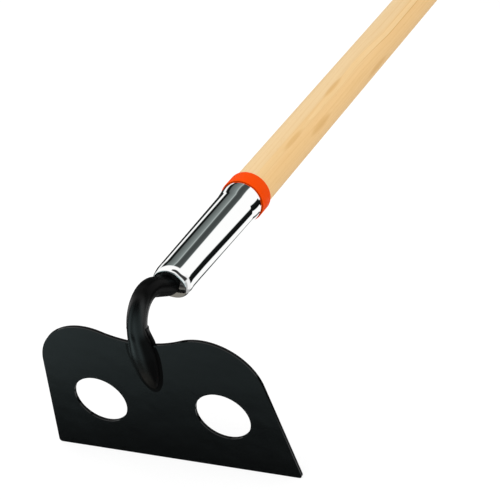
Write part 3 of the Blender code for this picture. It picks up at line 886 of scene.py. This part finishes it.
def bent(centre, radius, start, end, step):
    """List the stations of a bend, without its first; the radius is negative on a bend upwards."""
    steps = math.ceil(abs(end - start) / step)
    headings = [start + (end - start) * i / steps for i in range(1, steps + 1)]
    return [(centre[0] + radius * math.sin(a), centre[1] + radius * math.cos(a), a)
            for a in headings]


def straight(first, last, steps):
    """List the stations between two on a straight run, without the first."""
    return [tuple(a + (b - a) * i / steps for a, b in zip(first, last))
            for i in range(1, steps + 1)]


def neck_path(neck, blade, turned):
    """List stations down the middle of the bar, from its shoulder to the foot's tip."""
    shoulder = handle_front(turned) - FIT_GAP
    stations = [axis_station(shoulder)]
    bend = axis_station(ferrule_front(turned) + neck.bend_behind_front)
    stations += straight(stations[-1], bend, LEVEL_STEPS)
    y, z, heading = stations[-1]
    centre = (y + neck.lower_bend * math.sin(heading), z + neck.lower_bend * math.cos(heading))
    stations += bent(centre, -neck.lower_bend, heading, neck.rise, neck.arc_step)
    y, z, heading = stations[-1]
    bend_y = MID_PLANE + neck.upper_bend * (1 + math.sin(neck.rise))
    bend_z = z + (y - bend_y) * math.tan(neck.rise)
    stations += straight(stations[-1], (bend_y, bend_z, heading), SLOPE_STEPS)
    centre = (bend_y - neck.upper_bend * math.sin(heading),
              bend_z - neck.upper_bend * math.cos(heading))
    stations += bent(centre, neck.upper_bend, heading, -math.pi / 2, neck.arc_step)
    tip = (MID_PLANE, dip_height(blade) - neck.foot_below_dip, -math.pi / 2)
    return stations + straight(stations[-1], tip, FOOT_STEPS)


def measured_path(neck, blade, turned):
    """List the neck's stations, each with its distance along the bar to the foot's tip."""
    stations = neck_path(neck, blade, turned)
    to_tip = 0.0
    measured = [(stations[-1], to_tip)]
    for after, station in zip(reversed(stations), reversed(stations[:-1])):
        to_tip += math.dist(after[:2], station[:2])
        measured.append((station, to_tip))
    return measured[::-1]


def foot_section(neck, to_tip):
    """Give the bar's half width and half depth at a distance from the foot's tip."""
    down = 1 - min(to_tip / (neck.foot_below_dip + neck.foot_above_dip), 1.0)
    reached = min(down / neck.spread_share, 1.0)
    spread = reached * reached * (3 - 2 * reached)
    nose = max(1 - down ** neck.nose_fullness, 0.0) ** neck.nose_sharpness
    half_width = neck.bar_radius + (neck.foot_half_width - neck.bar_radius) * spread
    half_depth = neck.bar_radius + (neck.foot_half_depth - neck.bar_radius) * spread
    return half_width * nose, half_depth * nose


def ring(neck, station, half_width, half_depth):
    """List the points of an oval section, square to the bar at a station."""
    y, z, heading = station
    points = []
    for i in range(neck.sides):
        turn = 2 * math.pi * i / neck.sides
        out = half_depth * math.sin(turn)
        points.append((half_width * math.cos(turn),
                       y + out * math.sin(heading), z + out * math.cos(heading)))
    return points


def neck_form(name, scene, grow):
    """Make the neck larger by grow, seated on the plate's top edge and front face."""
    neck, blade, turned = scene.hoe_neck, scene.hoe_blade, scene.hoe_handle
    shoulder = handle_front(turned) - FIT_GAP
    tip, tang = neck.tang_tip_radius + grow, neck.tang_radius + grow
    rings = [ring(neck, axis_station(shoulder + neck.tang_length + grow), tip, tip),
             ring(neck, axis_station(shoulder + grow), tang, tang),
             ring(neck, axis_station(shoulder + grow), neck.bar_radius + grow,
                  neck.bar_radius + grow)]
    for station, to_tip in measured_path(neck, blade, turned)[1:-1]:
        half_width, half_depth = foot_section(neck, to_tip)
        rings.append(ring(neck, station, half_width + grow, half_depth + grow))
    form = lofted_form(name, rings)
    clearance = FIT_GAP - grow
    seat = under_dip(name + " seat", blade, -clearance, 2 * neck.foot_half_depth, clearance)
    cut(form, seat)
    mesh = tidy_mesh(evaluated_mesh(form))
    drop(form, seat)
    return new_object(name, mesh)


def footprint_half_width(neck, blade, z):
    """Give half the foot's width where it meets the plate's front face, at a height."""
    half_width, half_depth = foot_section(neck, z - dip_height(blade) + neck.foot_below_dip)
    if half_depth <= MID_PLANE:
        return 0.0
    return half_width * math.sqrt(1 - (MID_PLANE / half_depth) ** 2)


def footprint_tip(neck, blade):
    """Find the height at which the foot dives into the plate's front face."""
    low, high = dip_height(blade) - neck.foot_below_dip, dip_height(blade)
    while high - low > MERGE_DISTANCE:
        middle = (low + high) / 2
        if footprint_half_width(neck, blade, middle) > 0:
            high = middle
        else:
            low = middle
    return low


def fillet_section(neck):
    """List the points of the front weld's hollow section: x away from the foot, y off the plate."""
    leg = neck.weld_leg
    lean = LEAN * leg
    points = []
    for i in range(SECTION_STEPS + 1):
        t = math.pi / 2 * i / SECTION_STEPS
        points.append((leg - (leg + lean) * math.sin(t), leg - leg * math.cos(t), 0.0))
    inside = -2 * lean
    under = -FIT_GAP / 2
    return points + [(inside, leg, 0.0), (inside, under, 0.0), (leg, under, 0.0)]


def front_weld_path(neck, blade):
    """List the footprint's edge as (x, z, size of the bead), down the left side and up the right."""
    top = dip_height(blade) - 2 * FIT_GAP
    tip = footprint_tip(neck, blade)
    right = []
    for i in range(WELD_STEPS):
        reached = i / WELD_STEPS
        z = tip + (top - tip) * reached ** CROWDING
        _, half_depth = foot_section(neck, z - dip_height(blade) + neck.foot_below_dip)
        stands = max(half_depth - MID_PLANE, 0.0) / neck.weld_leg
        from_tip = 1 - (1 - reached) ** 2
        size = min(1.0, SUNK_SIZE + 0.5 * stands) * min(1.0, TIP_SIZE + 2.0 * from_tip)
        right.append((footprint_half_width(neck, blade, z), z, size))
    left = [(-x, z, size) for x, z, size in reversed(right[1:])]
    thin = [(x, z, size * (1 - (1 - neck.weld_thin) * min(1.0, 3 * i / WELD_STEPS)))
            for i, (x, z, size) in enumerate(right)]
    return left + thin


class HOE_OT_bar(bpy.types.Operator):
    """Make the bent bar with its flattened foot and its tang"""

    bl_idname = "hoe.bar"
    bl_label = "Bar"

    def execute(self, context):
        form = neck_form("bar form", context.scene, 0.0)
        mesh = form.data.copy()
        drop(form)
        # Its paint carries painted shade on the bar's upper end, the foot's right flank and its tip
        paint = paint_material("bar paint", painted_shade_ends, context.scene.hoe_finish,
                               lumps=1.5, rough=0.24, shine=0.5)
        finish_piece("bent_bar", mesh, BLADE_FRAME, paint, "neck")
        return {"FINISHED"}


class HOE_OT_welds(bpy.types.Operator):
    """Make the weld round the foot and the one that saddles the plate's top edge"""

    bl_idname = "hoe.welds"
    bl_label = "Welds"

    def execute(self, context):
        scene = context.scene
        neck, blade, turned = scene.hoe_neck, scene.hoe_blade, scene.hoe_handle
        # The welds' paint carries painted shade on their right side and near the foot's tip
        paint = paint_material("weld paint", painted_shade_ends, scene.hoe_finish,
                               lumps=3.0, rough=0.30, shine=0.3)
        self.front_weld(neck, blade, paint)
        self.rear_weld(scene, neck, blade, turned, paint)
        return {"FINISHED"}

    def front_weld(self, neck, blade, paint):
        """Run a bead of varying size round the foot on the plate's front face."""
        path = front_weld_path(neck, blade)
        row = row_mesh("front weld path", [(x, z, 0.0) for x, z, _ in path])
        sizes = row.attributes.new("bead", "FLOAT", "POINT")
        for point, (_, _, size) in zip(sizes.data, path):
            point.value = size
        section = new_object("weld section", row_mesh("weld section", fillet_section(neck), True))
        mesh = grown_mesh("front weld form", row, bead_tree(), {
            "Section": section, "Pitch": neck.weld_pitch, "Ripple": neck.weld_ripple,
            "Material": paint})
        drop(section)
        upright = Matrix.Rotation(math.radians(90), 4, "X")
        finish_piece("foot_weld", mesh, BLADE_FRAME @ upright, paint, "front_weld")

    def rear_weld(self, scene, neck, blade, turned, paint):
        """Skin a swollen copy of the bar behind the plate, and cut the plate and the bar out."""
        rings = []
        for station, to_tip in measured_path(neck, blade, turned):
            above = station[1] - dip_height(blade)
            if station[2] < 0 and -neck.saddle_below < above < neck.saddle_above:
                under = max(-above, 0.0) / neck.saddle_below
                nose = math.sqrt(1 - under * under)
                swell = 1 + neck.weld_ripple * math.sin(2 * math.pi * above / neck.weld_pitch)
                half_width, half_depth = foot_section(neck, to_tip)
                throat = neck.saddle_throat * swell
                rings.append(ring(neck, station, (half_width + throat) * nose,
                                  (half_depth + throat) * nose))
        form = lofted_form("rear weld form", rings)
        front = -2 * neck.foot_half_depth
        side = 2 * neck.foot_half_width
        high = dip_height(blade) + 2 * neck.saddle_above
        front_half = [(-side, 0.0), (side, 0.0), (side, high), (-side, high)]
        cutters = [flat_form("front half", [front_half], MID_PLANE, front),
                   under_dip("blade room", blade, front, THICKNESS, 0.0),
                   neck_form("neck room", scene, 0.0)]
        for cutter in cutters:
            cut(form, cutter)
        mesh = tidy_mesh(evaluated_mesh(form))
        drop(form, *cutters)
        finish_piece("saddle_weld", mesh, BLADE_FRAME, paint, "rear_weld")


# Ferrule, collar, handle and nail: distances run down the handle's axis from the plate

TUBE_STEPS = 48
FLARE_STEPS = 24
FACE_RINGS = 12
SHAFT_STEPS = 60
NAIL_SIDES = 48
NAIL_HOLE_SIDES = 32
SHOULDER_STEP = math.radians(3)
COLLAR_STEP = math.radians(15)
BUTT_STEP = math.radians(6)
DOME_STEP = math.radians(9)


def ferrule_outside(turned):
    """List (radius, distance) points of the ferrule's outside behind its shoulder."""
    mouth = ferrule_front(turned) + turned.ferrule_length
    mouth_radius = turned.radius + turned.mouth_proud
    rear = mouth_radius - turned.flare
    front = rear - turned.taper
    start = ferrule_front(turned) + turned.shoulder
    flare_start = mouth - turned.lip_length - turned.flare_length
    points = []
    for i in range(TUBE_STEPS):
        reached = i / TUBE_STEPS
        points.append((front + turned.taper * reached, start + (flare_start - start) * reached))
    for i in range(FLARE_STEPS + 1):
        reached = i / FLARE_STEPS
        ease = reached * reached * (3 - 2 * reached)
        points.append((rear + turned.flare * ease, flare_start + turned.flare_length * reached))
    return points + [(mouth_radius, mouth)]


def shoulder_curve(turned, outside):
    """List the (radius, distance) points of the shoulder: a sloped line that rounds over."""
    points = []
    for across, along in arc_points((0.0, 0.0), 1.0, -math.pi / 2, 0.0, SHOULDER_STEP)[:-1]:
        ahead = -turned.shoulder * along
        drop = turned.shoulder_slope * ahead + turned.shoulder_reach * (1 - across)
        points.append((outside[0][0] - drop, outside[0][1] - ahead))
    return points


def slanted_mesh(name, turned, outside, depth, material):
    """Turn a solid with a closed front end, which curves back towards its lower edge.

    The depth is how far the solid lies under the ferrule's outside; its shoulder sits that much
    further back and all its radii are that much smaller.
    """
    front = ferrule_front(turned) + depth
    mouth = outside[-1][1] + depth
    bend = [(radius - depth, distance + depth)
            for radius, distance in shoulder_curve(turned, outside) + outside[:1]]
    points = [(bend[0][0] * i / FACE_RINGS, front) for i in range(FACE_RINGS)] + bend
    points += [(radius - depth, distance) for radius, distance in outside
               if distance > bend[-1][1]]
    points += [(outside[-1][0] - depth, mouth), (0.0, mouth)]
    mesh = turned_mesh(name, [(r, -d) for r, d in points], material, turned.sides)
    wood = handle_front(turned)
    for vertex in mesh.vertices:
        reach = max(vertex.co.z + depth + wood, 0.0) / turned.front_setback
        low = (1 - vertex.co.y / outside[0][0]) / 2
        vertex.co.z -= turned.slant * reach * low * low
    return mesh


def radius_at(points, distance):
    """Read a radius off a row of (radius, distance) points."""
    for (r0, d0), (r1, d1) in zip(points, points[1:]):
        if d0 <= distance <= d1:
            return r0 + (r1 - r0) * (distance - d0) / (d1 - d0)
    raise ValueError("distance outside the profile")


def nail_matrix(turned):
    """Place the nail on the ferrule's underside, its Z pointing out."""
    outside = ferrule_outside(turned)
    place = outside[-1][1] - turned.lip_length - turned.flare_length - turned.nail_before_flare
    out = -(radius_at(outside, place) + FIT_GAP)
    return Matrix.Translation((0.0, out, -place)) @ Matrix.Rotation(math.radians(90), 4, "X")


def nail_room(turned):
    """Make the cutter for the nail's hole."""
    depth = turned.nail_length + FIT_GAP
    bore = turned.nail_radius + FIT_GAP
    shape = bmesh.new()
    bmesh.ops.create_cone(shape, cap_ends=True, segments=NAIL_HOLE_SIDES, depth=2 * depth,
                          radius1=bore, radius2=bore)
    bmesh.ops.transform(shape, matrix=nail_matrix(turned), verts=shape.verts)
    return new_object("nail room", mesh_of("nail room", shape))


def mesh_less(name, mesh, cutters):
    """Take cutters out of a mesh."""
    form = new_object(name, mesh)
    for cutter in cutters:
        cut(form, cutter)
    left = tidy_mesh(evaluated_mesh(form))
    drop(form, *cutters)
    return left


class HOE_OT_ferrule(bpy.types.Operator):
    """Make the chrome tube with its closed, slanted front end and its flared mouth"""

    bl_idname = "hoe.ferrule"
    bl_label = "Ferrule"

    def execute(self, context):
        scene = context.scene
        turned = scene.hoe_handle
        chrome = chrome_material(scene.hoe_finish)
        outside = ferrule_outside(turned)
        mesh = slanted_mesh("ferrule form", turned, outside, 0.0, chrome)
        cavity = slanted_mesh("ferrule cavity", turned, outside, turned.wall, chrome)
        way = neck_form("neck way", scene, FIT_GAP)
        way.data.transform(HANDLE_FRAME.inverted() @ BLADE_FRAME)
        mesh = mesh_less("ferrule cut", mesh, [
            new_object("ferrule cavity", cavity), way, nail_room(turned)])
        finish_piece("chrome_ferrule", mesh, HANDLE_FRAME, chrome, "ferrule")
        return {"FINISHED"}


class HOE_OT_collar(bpy.types.Operator):
    """Make the plastic ring that covers the ferrule's mouth and closes on the handle"""

    bl_idname = "hoe.collar"
    bl_label = "Collar"

    def execute(self, context):
        turned = context.scene.hoe_handle
        mouth = ferrule_front(turned) + turned.ferrule_length
        front = mouth - turned.collar_overlap
        rear = front + turned.collar_length
        step = mouth + FIT_GAP
        over_ferrule = turned.radius + turned.mouth_proud + FIT_GAP
        over_handle = turned.radius + FIT_GAP
        edge = turned.collar_round
        outer = over_ferrule + turned.collar_wall
        profile = arc_points((outer - edge, front + edge), edge, -math.pi / 2, 0.0, COLLAR_STEP)
        profile += arc_points((outer - edge, rear - edge), edge, 0.0, math.pi / 2, COLLAR_STEP)
        profile += [(over_handle, rear), (over_handle, step), (over_ferrule, step)]
        profile += [(over_ferrule, front), profile[0]]
        plastic = plastic_material(context.scene.hoe_finish)
        mesh = turned_mesh("collar form", [(r, -d) for r, d in profile], plastic, turned.sides)
        finish_piece("plastic_collar", mesh, HANDLE_FRAME, plastic, "collar")
        return {"FINISHED"}


class HOE_OT_handle(bpy.types.Operator):
    """Make the wooden handle with its spigot, its bore for the tang and its rounded butt"""

    bl_idname = "hoe.handle"
    bl_label = "Handle"

    def execute(self, context):
        scene = context.scene
        neck, turned = scene.hoe_neck, scene.hoe_handle
        fit = turned.wall + FIT_GAP
        start = handle_front(turned)
        outside = ferrule_outside(turned)
        spigot = [(radius_at(outside, start) - fit, start)]
        spigot += [(radius - fit, distance) for radius, distance in outside if distance > start]
        mouth = spigot.pop()
        bore_end = start + neck.tang_length + FIT_GAP
        bore = [(0.0, bore_end), (neck.tang_tip_radius + FIT_GAP, bore_end),
                (neck.tang_radius + FIT_GAP, start)]
        corner = (turned.radius - turned.butt_round, HANDLE_BUTT - turned.butt_round)
        butt = arc_points(corner, turned.butt_round, 0.0, math.pi / 2, BUTT_STEP)
        shaft = [(turned.radius, mouth[1] + FIT_GAP)]
        shaft += [(turned.radius, shaft[0][1] + (corner[1] - shaft[0][1]) * i / SHAFT_STEPS)
                  for i in range(1, SHAFT_STEPS)]
        points = bore + spigot + [(mouth[0], shaft[0][1])] + shaft + butt + [(0.0, HANDLE_BUTT)]
        wood = wood_material(scene.hoe_finish)
        mesh = turned_mesh("handle form", [(r, -d) for r, d in points], wood, turned.sides)
        mesh = mesh_less("handle cut", mesh, [nail_room(turned)])
        finish_piece("wooden_handle", mesh, HANDLE_FRAME, wood, "handle")
        return {"FINISHED"}


class HOE_OT_nail(bpy.types.Operator):
    """Make the nail that keeps the ferrule on the handle"""

    bl_idname = "hoe.nail"
    bl_label = "Nail"

    def execute(self, context):
        turned = context.scene.hoe_handle
        half_head = turned.nail_head_height / 2
        dome = arc_points((0.0, 0.0), 1.0, math.pi / 2, 0.0, DOME_STEP)
        profile = [(turned.nail_head_radius * x, half_head + half_head * z) for x, z in dome]
        profile += [(turned.nail_head_radius, 0.0), (turned.nail_radius, 0.0),
                    (turned.nail_radius, turned.nail_point - turned.nail_length),
                    (0.0, -turned.nail_length)]
        steel = steel_material(context.scene.hoe_finish)
        mesh = turned_mesh("nail form", profile, steel, NAIL_SIDES)
        finish_piece("ferrule_nail", mesh, HANDLE_FRAME @ nail_matrix(turned), steel, "nail")
        return {"FINISHED"}


# Stage

# Camera in the blade's frame
CAMERA_PLACE = Vector((0.6996, -0.9167, 1.0384))
CAMERA_RIGHT = Vector((0.90081, 0.38374, -0.20319))
CAMERA_UP = Vector((-0.08447, 0.61387, 0.78487))

# Lamps: name, direction from their target, diameter and the setting of their level. The target is
# in the handle's frame
LAMP_TARGET = Vector((0.0, 0.0, -0.15))
LAMPS = (
    ("key lamp", (-0.7, -0.5, 1.1), 1.6, "key_light"),
    ("fill lamp", (0.9, -0.6, 0.7), 2.0, "fill_light"))

# What the camera sees of the floor: how much of the light it throws back, and its own glow
FLOOR_SEEN = grey(0.30)
FLOOR_GLOW = 0.78

# Lights and dark flags that a long polished tube turns into lines: degrees about the handle's
# axis, from straight up towards +X, and brightness
LINES_FROM = -140.0
TUBE_LINES = (
    (-140, 0.02), (-92, 0.02), (-88, 1.0), (-74, 1.0), (-69, 0.01), (-60, 0.004), (-52, 0.01),
    (-47, 0.12), (-30, 0.17), (-13, 0.26), (-11, 0.42), (-8, 0.42), (-4, 0.09), (4, 0.06),
    (14, 0.065), (26, 0.085), (31, 1.0), (94, 1.0), (97, 0.01), (127, 0.004), (131, 1.0),
    (163, 1.0), (166, 0.02), (177, 0.02), (180, 1.0), (200, 1.0), (219, 1.0))
LINE_TINT = (0.87, 1.0, 0.98, 1.0)

# Cards and flags round the plate, a later one over an earlier: lowest and highest azimuth, lowest
# and highest height, softness and brightness. All are degrees but the last, and azimuth runs from
# straight out of the plate's front towards +X
CARDS = (
    (-112, -88, -10, 66, 6, 1.0),
    (-88, 74, -64, 90, 8, 0.02),
    (-205, -108, -2, 100, 6, 1.0),
    (74, 108, -14, 62, 6, 0.80),
    (108, 205, -10, 100, 4, 1.0),
    (112, 205, -58, 8, 5, 0.9),
    (-112, 42, -90, -13, 4, 0.02),
    (-163, -128, -90, 12, 3, 0.01),
    (-205, -105, -90, -14, 8, 0.02))
ROOM = grey(0.42)
FLAG = grey(0.035)
GROUND = (0.21, 0.20, 0.175, 1.0)

# Bank of lights over the plate: shares of its span of azimuth, and brightness
BANK_FROM = -90.0
BANK_SPAN = 240.0
BANK = (
    (0.02, 0.0), (0.06, 0.3), (0.125, 0.95), (0.167, 0.6), (0.204, 0.46), (0.238, 0.28),
    (0.283, 0.5), (0.346, 0.8), (0.44, 0.6), (0.53, 0.42), (0.62, 0.5), (0.68, 0.55),
    (0.74, 0.1), (0.85, 0.0))
BANK_TINT = (0.77, 1.0, 1.02, 1.0)


def tube_lines(graph, around, along):
    """Give the lines seen down the handle's length; two dark flags hang askew, so theirs lean."""
    lean = graph.held((along - 0.737) / 0.031, 0.0, 1.0)
    slid = (around - 16.0 * lean * graph.smooth(around, 40.0, 100.0)
            - 8.0 * lean * graph.smooth(around, -30.0, -56.0))
    stops = [((degrees - LINES_FROM) / 360.0, level) for degrees, level in TUBE_LINES]
    lines = graph.ramp(stops, graph.math("FRACT", (slid - LINES_FROM) / 360.0))
    tint = graph.mix(graph.smooth(lines, 0.2, 0.8), LINE_TINT, grey(1.0))
    return graph.mix(lines, grey(0.0), tint)


def room(graph, azimuth, height):
    """Give the cards, flags and lights seen round the plate."""
    shade = ROOM
    for left, right, low, high, soft, level in CARDS:
        card = graph.window(azimuth, left, right, soft) * graph.window(height, low, high, soft)
        shade = graph.mix(card, shade, grey(level))

    # A thin flag that leans over as it rises: the dark line round the ferrule's nose
    rise = graph.math("POWER", graph.largest((height + 4.0) / 67.0, 0.0), 4.5)
    flag = graph.window((azimuth - 112.0 - 64.0 * rise) / (1.0 + 2.0 * rise), -9, 9, 2)
    shade = graph.mix(flag * graph.window(height, -8, 66, 4), shade, FLAG)
    ground = graph.smooth(height, -44, -52) * graph.window(azimuth, -100, 10, 10)
    shade = graph.mix(ground, shade, GROUND)

    # The bank's lower edge slopes with the azimuth, and a flag in it covers the ferrule's face
    near = graph.held(azimuth, -42.0, -30.0)
    cover = graph.window(azimuth, -53, -9, 6) * graph.window(height, -28, -12, 4)
    reach = (graph.smooth(height + 0.375 * near, -55.1, -52.0) * graph.smooth(height, 70, 10)
             * (1.0 - cover))
    bank = graph.ramp(BANK, (azimuth - BANK_FROM) / BANK_SPAN)
    return graph.mix(reach * bank, shade, BANK_TINT)


def studio(graph, direction):
    """Give the colour that polished surfaces see in a direction."""
    x, y, z = graph.parts(graph.in_frame(direction, HANDLE_FRAME.to_3x3().to_4x4()))
    along = 0.0 - z
    lines = tube_lines(graph, graph.bearing(x, y), along)
    u, w, v = graph.parts(graph.in_frame(direction, BLADE_FRAME.to_3x3().to_4x4()))
    height = graph.math("DEGREES", graph.math("ARCSINE", v))
    return graph.mix(graph.smooth(along, 0.565, 0.600),
                     room(graph, graph.bearing(u, 0.0 - w), height), lines)


def make_world(stage):
    """Light the hoe from all round; polished surfaces see the studio, and the camera sees white."""
    world = bpy.data.worlds.new("studio")
    bpy.context.scene.world = world
    world.use_nodes = True
    world.cycles.sampling_method = "NONE"
    graph = Graph(world.node_tree)
    path = graph.node("ShaderNodeLightPath")
    is_camera, is_glossy, is_through = (
        Value(graph, path.outputs["Is " + kind + " Ray"])
        for kind in ("Camera", "Glossy", "Transmission"))
    mirrored = studio(graph, graph.value("ShaderNodeTexCoord"))
    polished = graph.mix(is_glossy, grey(stage.dome_light), mirrored)
    seen = graph.mix(graph.largest(is_camera, is_through), polished, grey(1.0))
    sky = graph.value("ShaderNodeBackground", None, {"Color": seen, "Strength": 1.0})
    graph.node("ShaderNodeOutputWorld", None, {"Surface": sky})


def make_floor(stage):
    """Lay the pale floor that keeps the hoe's shadow."""
    shape = bmesh.new()
    bmesh.ops.create_grid(shape, x_segments=8, y_segments=8, size=stage.floor_size / 2)
    mesh = mesh_of("floor", shape)
    mesh.transform(Matrix.Translation((0.0, 0.0, CAD_BOX[0][2])))
    floor = new_object("floor", mesh)
    floor.visible_glossy = False
    made = bpy.data.materials.new("floor")
    made.use_nodes = True
    graph = Graph(made.node_tree)
    path = graph.node("ShaderNodeLightPath")
    bounce = graph.value("ShaderNodeBsdfDiffuse", None, {"Color": rgba(stage.floor_colour)})
    faint = graph.value("ShaderNodeBsdfDiffuse", None, {"Color": FLOOR_SEEN})
    glow = graph.value("ShaderNodeEmission", None, {"Color": grey(1.0), "Strength": FLOOR_GLOW})
    seen = graph.value("ShaderNodeAddShader", None, {0: faint, 1: glow})
    show(graph, graph.value("ShaderNodeMixShader", None, {
        0: Value(graph, path.outputs["Is Camera Ray"]), 1: bounce, 2: seen}))
    mesh.materials.append(made)


def make_lamp(name, towards, size, level, target, distance):
    """Hang a soft lamp that adds a level of light where it is aimed; polish doesn't show it."""
    data = bpy.data.lights.new(name, "AREA")
    data.shape = "DISK"
    data.size = size
    data.energy = level * math.pi ** 2 * distance ** 2
    lamp = new_object(name, data)
    direction = Vector(towards).normalized()
    lamp.location = target + direction * distance
    lamp.rotation_euler = direction.to_track_quat("Z", "Y").to_euler()
    lamp.visible_glossy = False


def make_camera(stage):
    """Set the camera at the photograph's view, in the blade's frame."""
    data = bpy.data.cameras.new("camera")
    data.sensor_width = 36.0
    data.lens = stage.lens
    data.clip_start = 0.05
    camera = new_object("camera", data)
    back = CAMERA_RIGHT.cross(CAMERA_UP)
    local = axes_matrix(CAMERA_PLACE, CAMERA_RIGHT, CAMERA_UP, back)
    camera.matrix_world = BLADE_FRAME @ local
    bpy.context.scene.camera = camera


class HOE_OT_stage(bpy.types.Operator):
    """Make the floor, the light and the camera"""

    bl_idname = "hoe.stage"
    bl_label = "Stage"

    def execute(self, context):
        stage = context.scene.hoe_stage
        context.scene.view_settings.view_transform = "Standard"
        make_world(stage)
        make_floor(stage)
        for name, towards, size, level in LAMPS:
            make_lamp(name, towards, size, getattr(stage, level), HANDLE_FRAME @ LAMP_TARGET,
                      stage.lamp_distance)
        make_camera(stage)
        return {"FINISHED"}


# Add-on


class HOE_PT_panel(bpy.types.Panel):
    """List the hoe's operators and settings"""

    bl_idname = "HOE_PT_panel"
    bl_label = "Cement hoe"
    bl_space_type = "VIEW_3D"
    bl_region_type = "UI"
    bl_category = "Hoe"

    def draw(self, context):
        for maker in OPERATORS:
            self.layout.operator(maker.bl_idname)
        for name, group in SETTINGS.items():
            box = self.layout.box()
            box.label(text=group.__doc__)
            settings = getattr(context.scene, name)
            for key in group.__annotations__:
                box.prop(settings, key)


SETTINGS = {
    "hoe_blade": BladeSettings,
    "hoe_neck": NeckSettings,
    "hoe_handle": HandleSettings,
    "hoe_finish": FinishSettings,
    "hoe_stage": StageSettings,
}
OPERATORS = (
    HOE_OT_stage,
    HOE_OT_blade,
    HOE_OT_bar,
    HOE_OT_welds,
    HOE_OT_ferrule,
    HOE_OT_collar,
    HOE_OT_handle,
    HOE_OT_nail,
)


def register():
    """Register the classes and hang the settings on the scene."""
    for name, group in SETTINGS.items():
        bpy.utils.register_class(group)
        setattr(bpy.types.Scene, name, PointerProperty(type=group))
    for maker in OPERATORS:
        bpy.utils.register_class(maker)
    bpy.utils.register_class(HOE_PT_panel)


def unregister():
    """Undo what register did."""
    bpy.utils.unregister_class(HOE_PT_panel)
    for maker in reversed(OPERATORS):
        bpy.utils.unregister_class(maker)
    for name, group in SETTINGS.items():
        delattr(bpy.types.Scene, name)
        bpy.utils.unregister_class(group)


def main():
    """Build the hoe."""
    register()
    bpy.ops.hoe.stage()
    bpy.ops.hoe.blade()
    bpy.ops.hoe.bar()
    bpy.ops.hoe.welds()
    bpy.ops.hoe.ferrule()
    bpy.ops.hoe.collar()
    bpy.ops.hoe.handle()
    bpy.ops.hoe.nail()


if __name__ == "__main__":
    main()
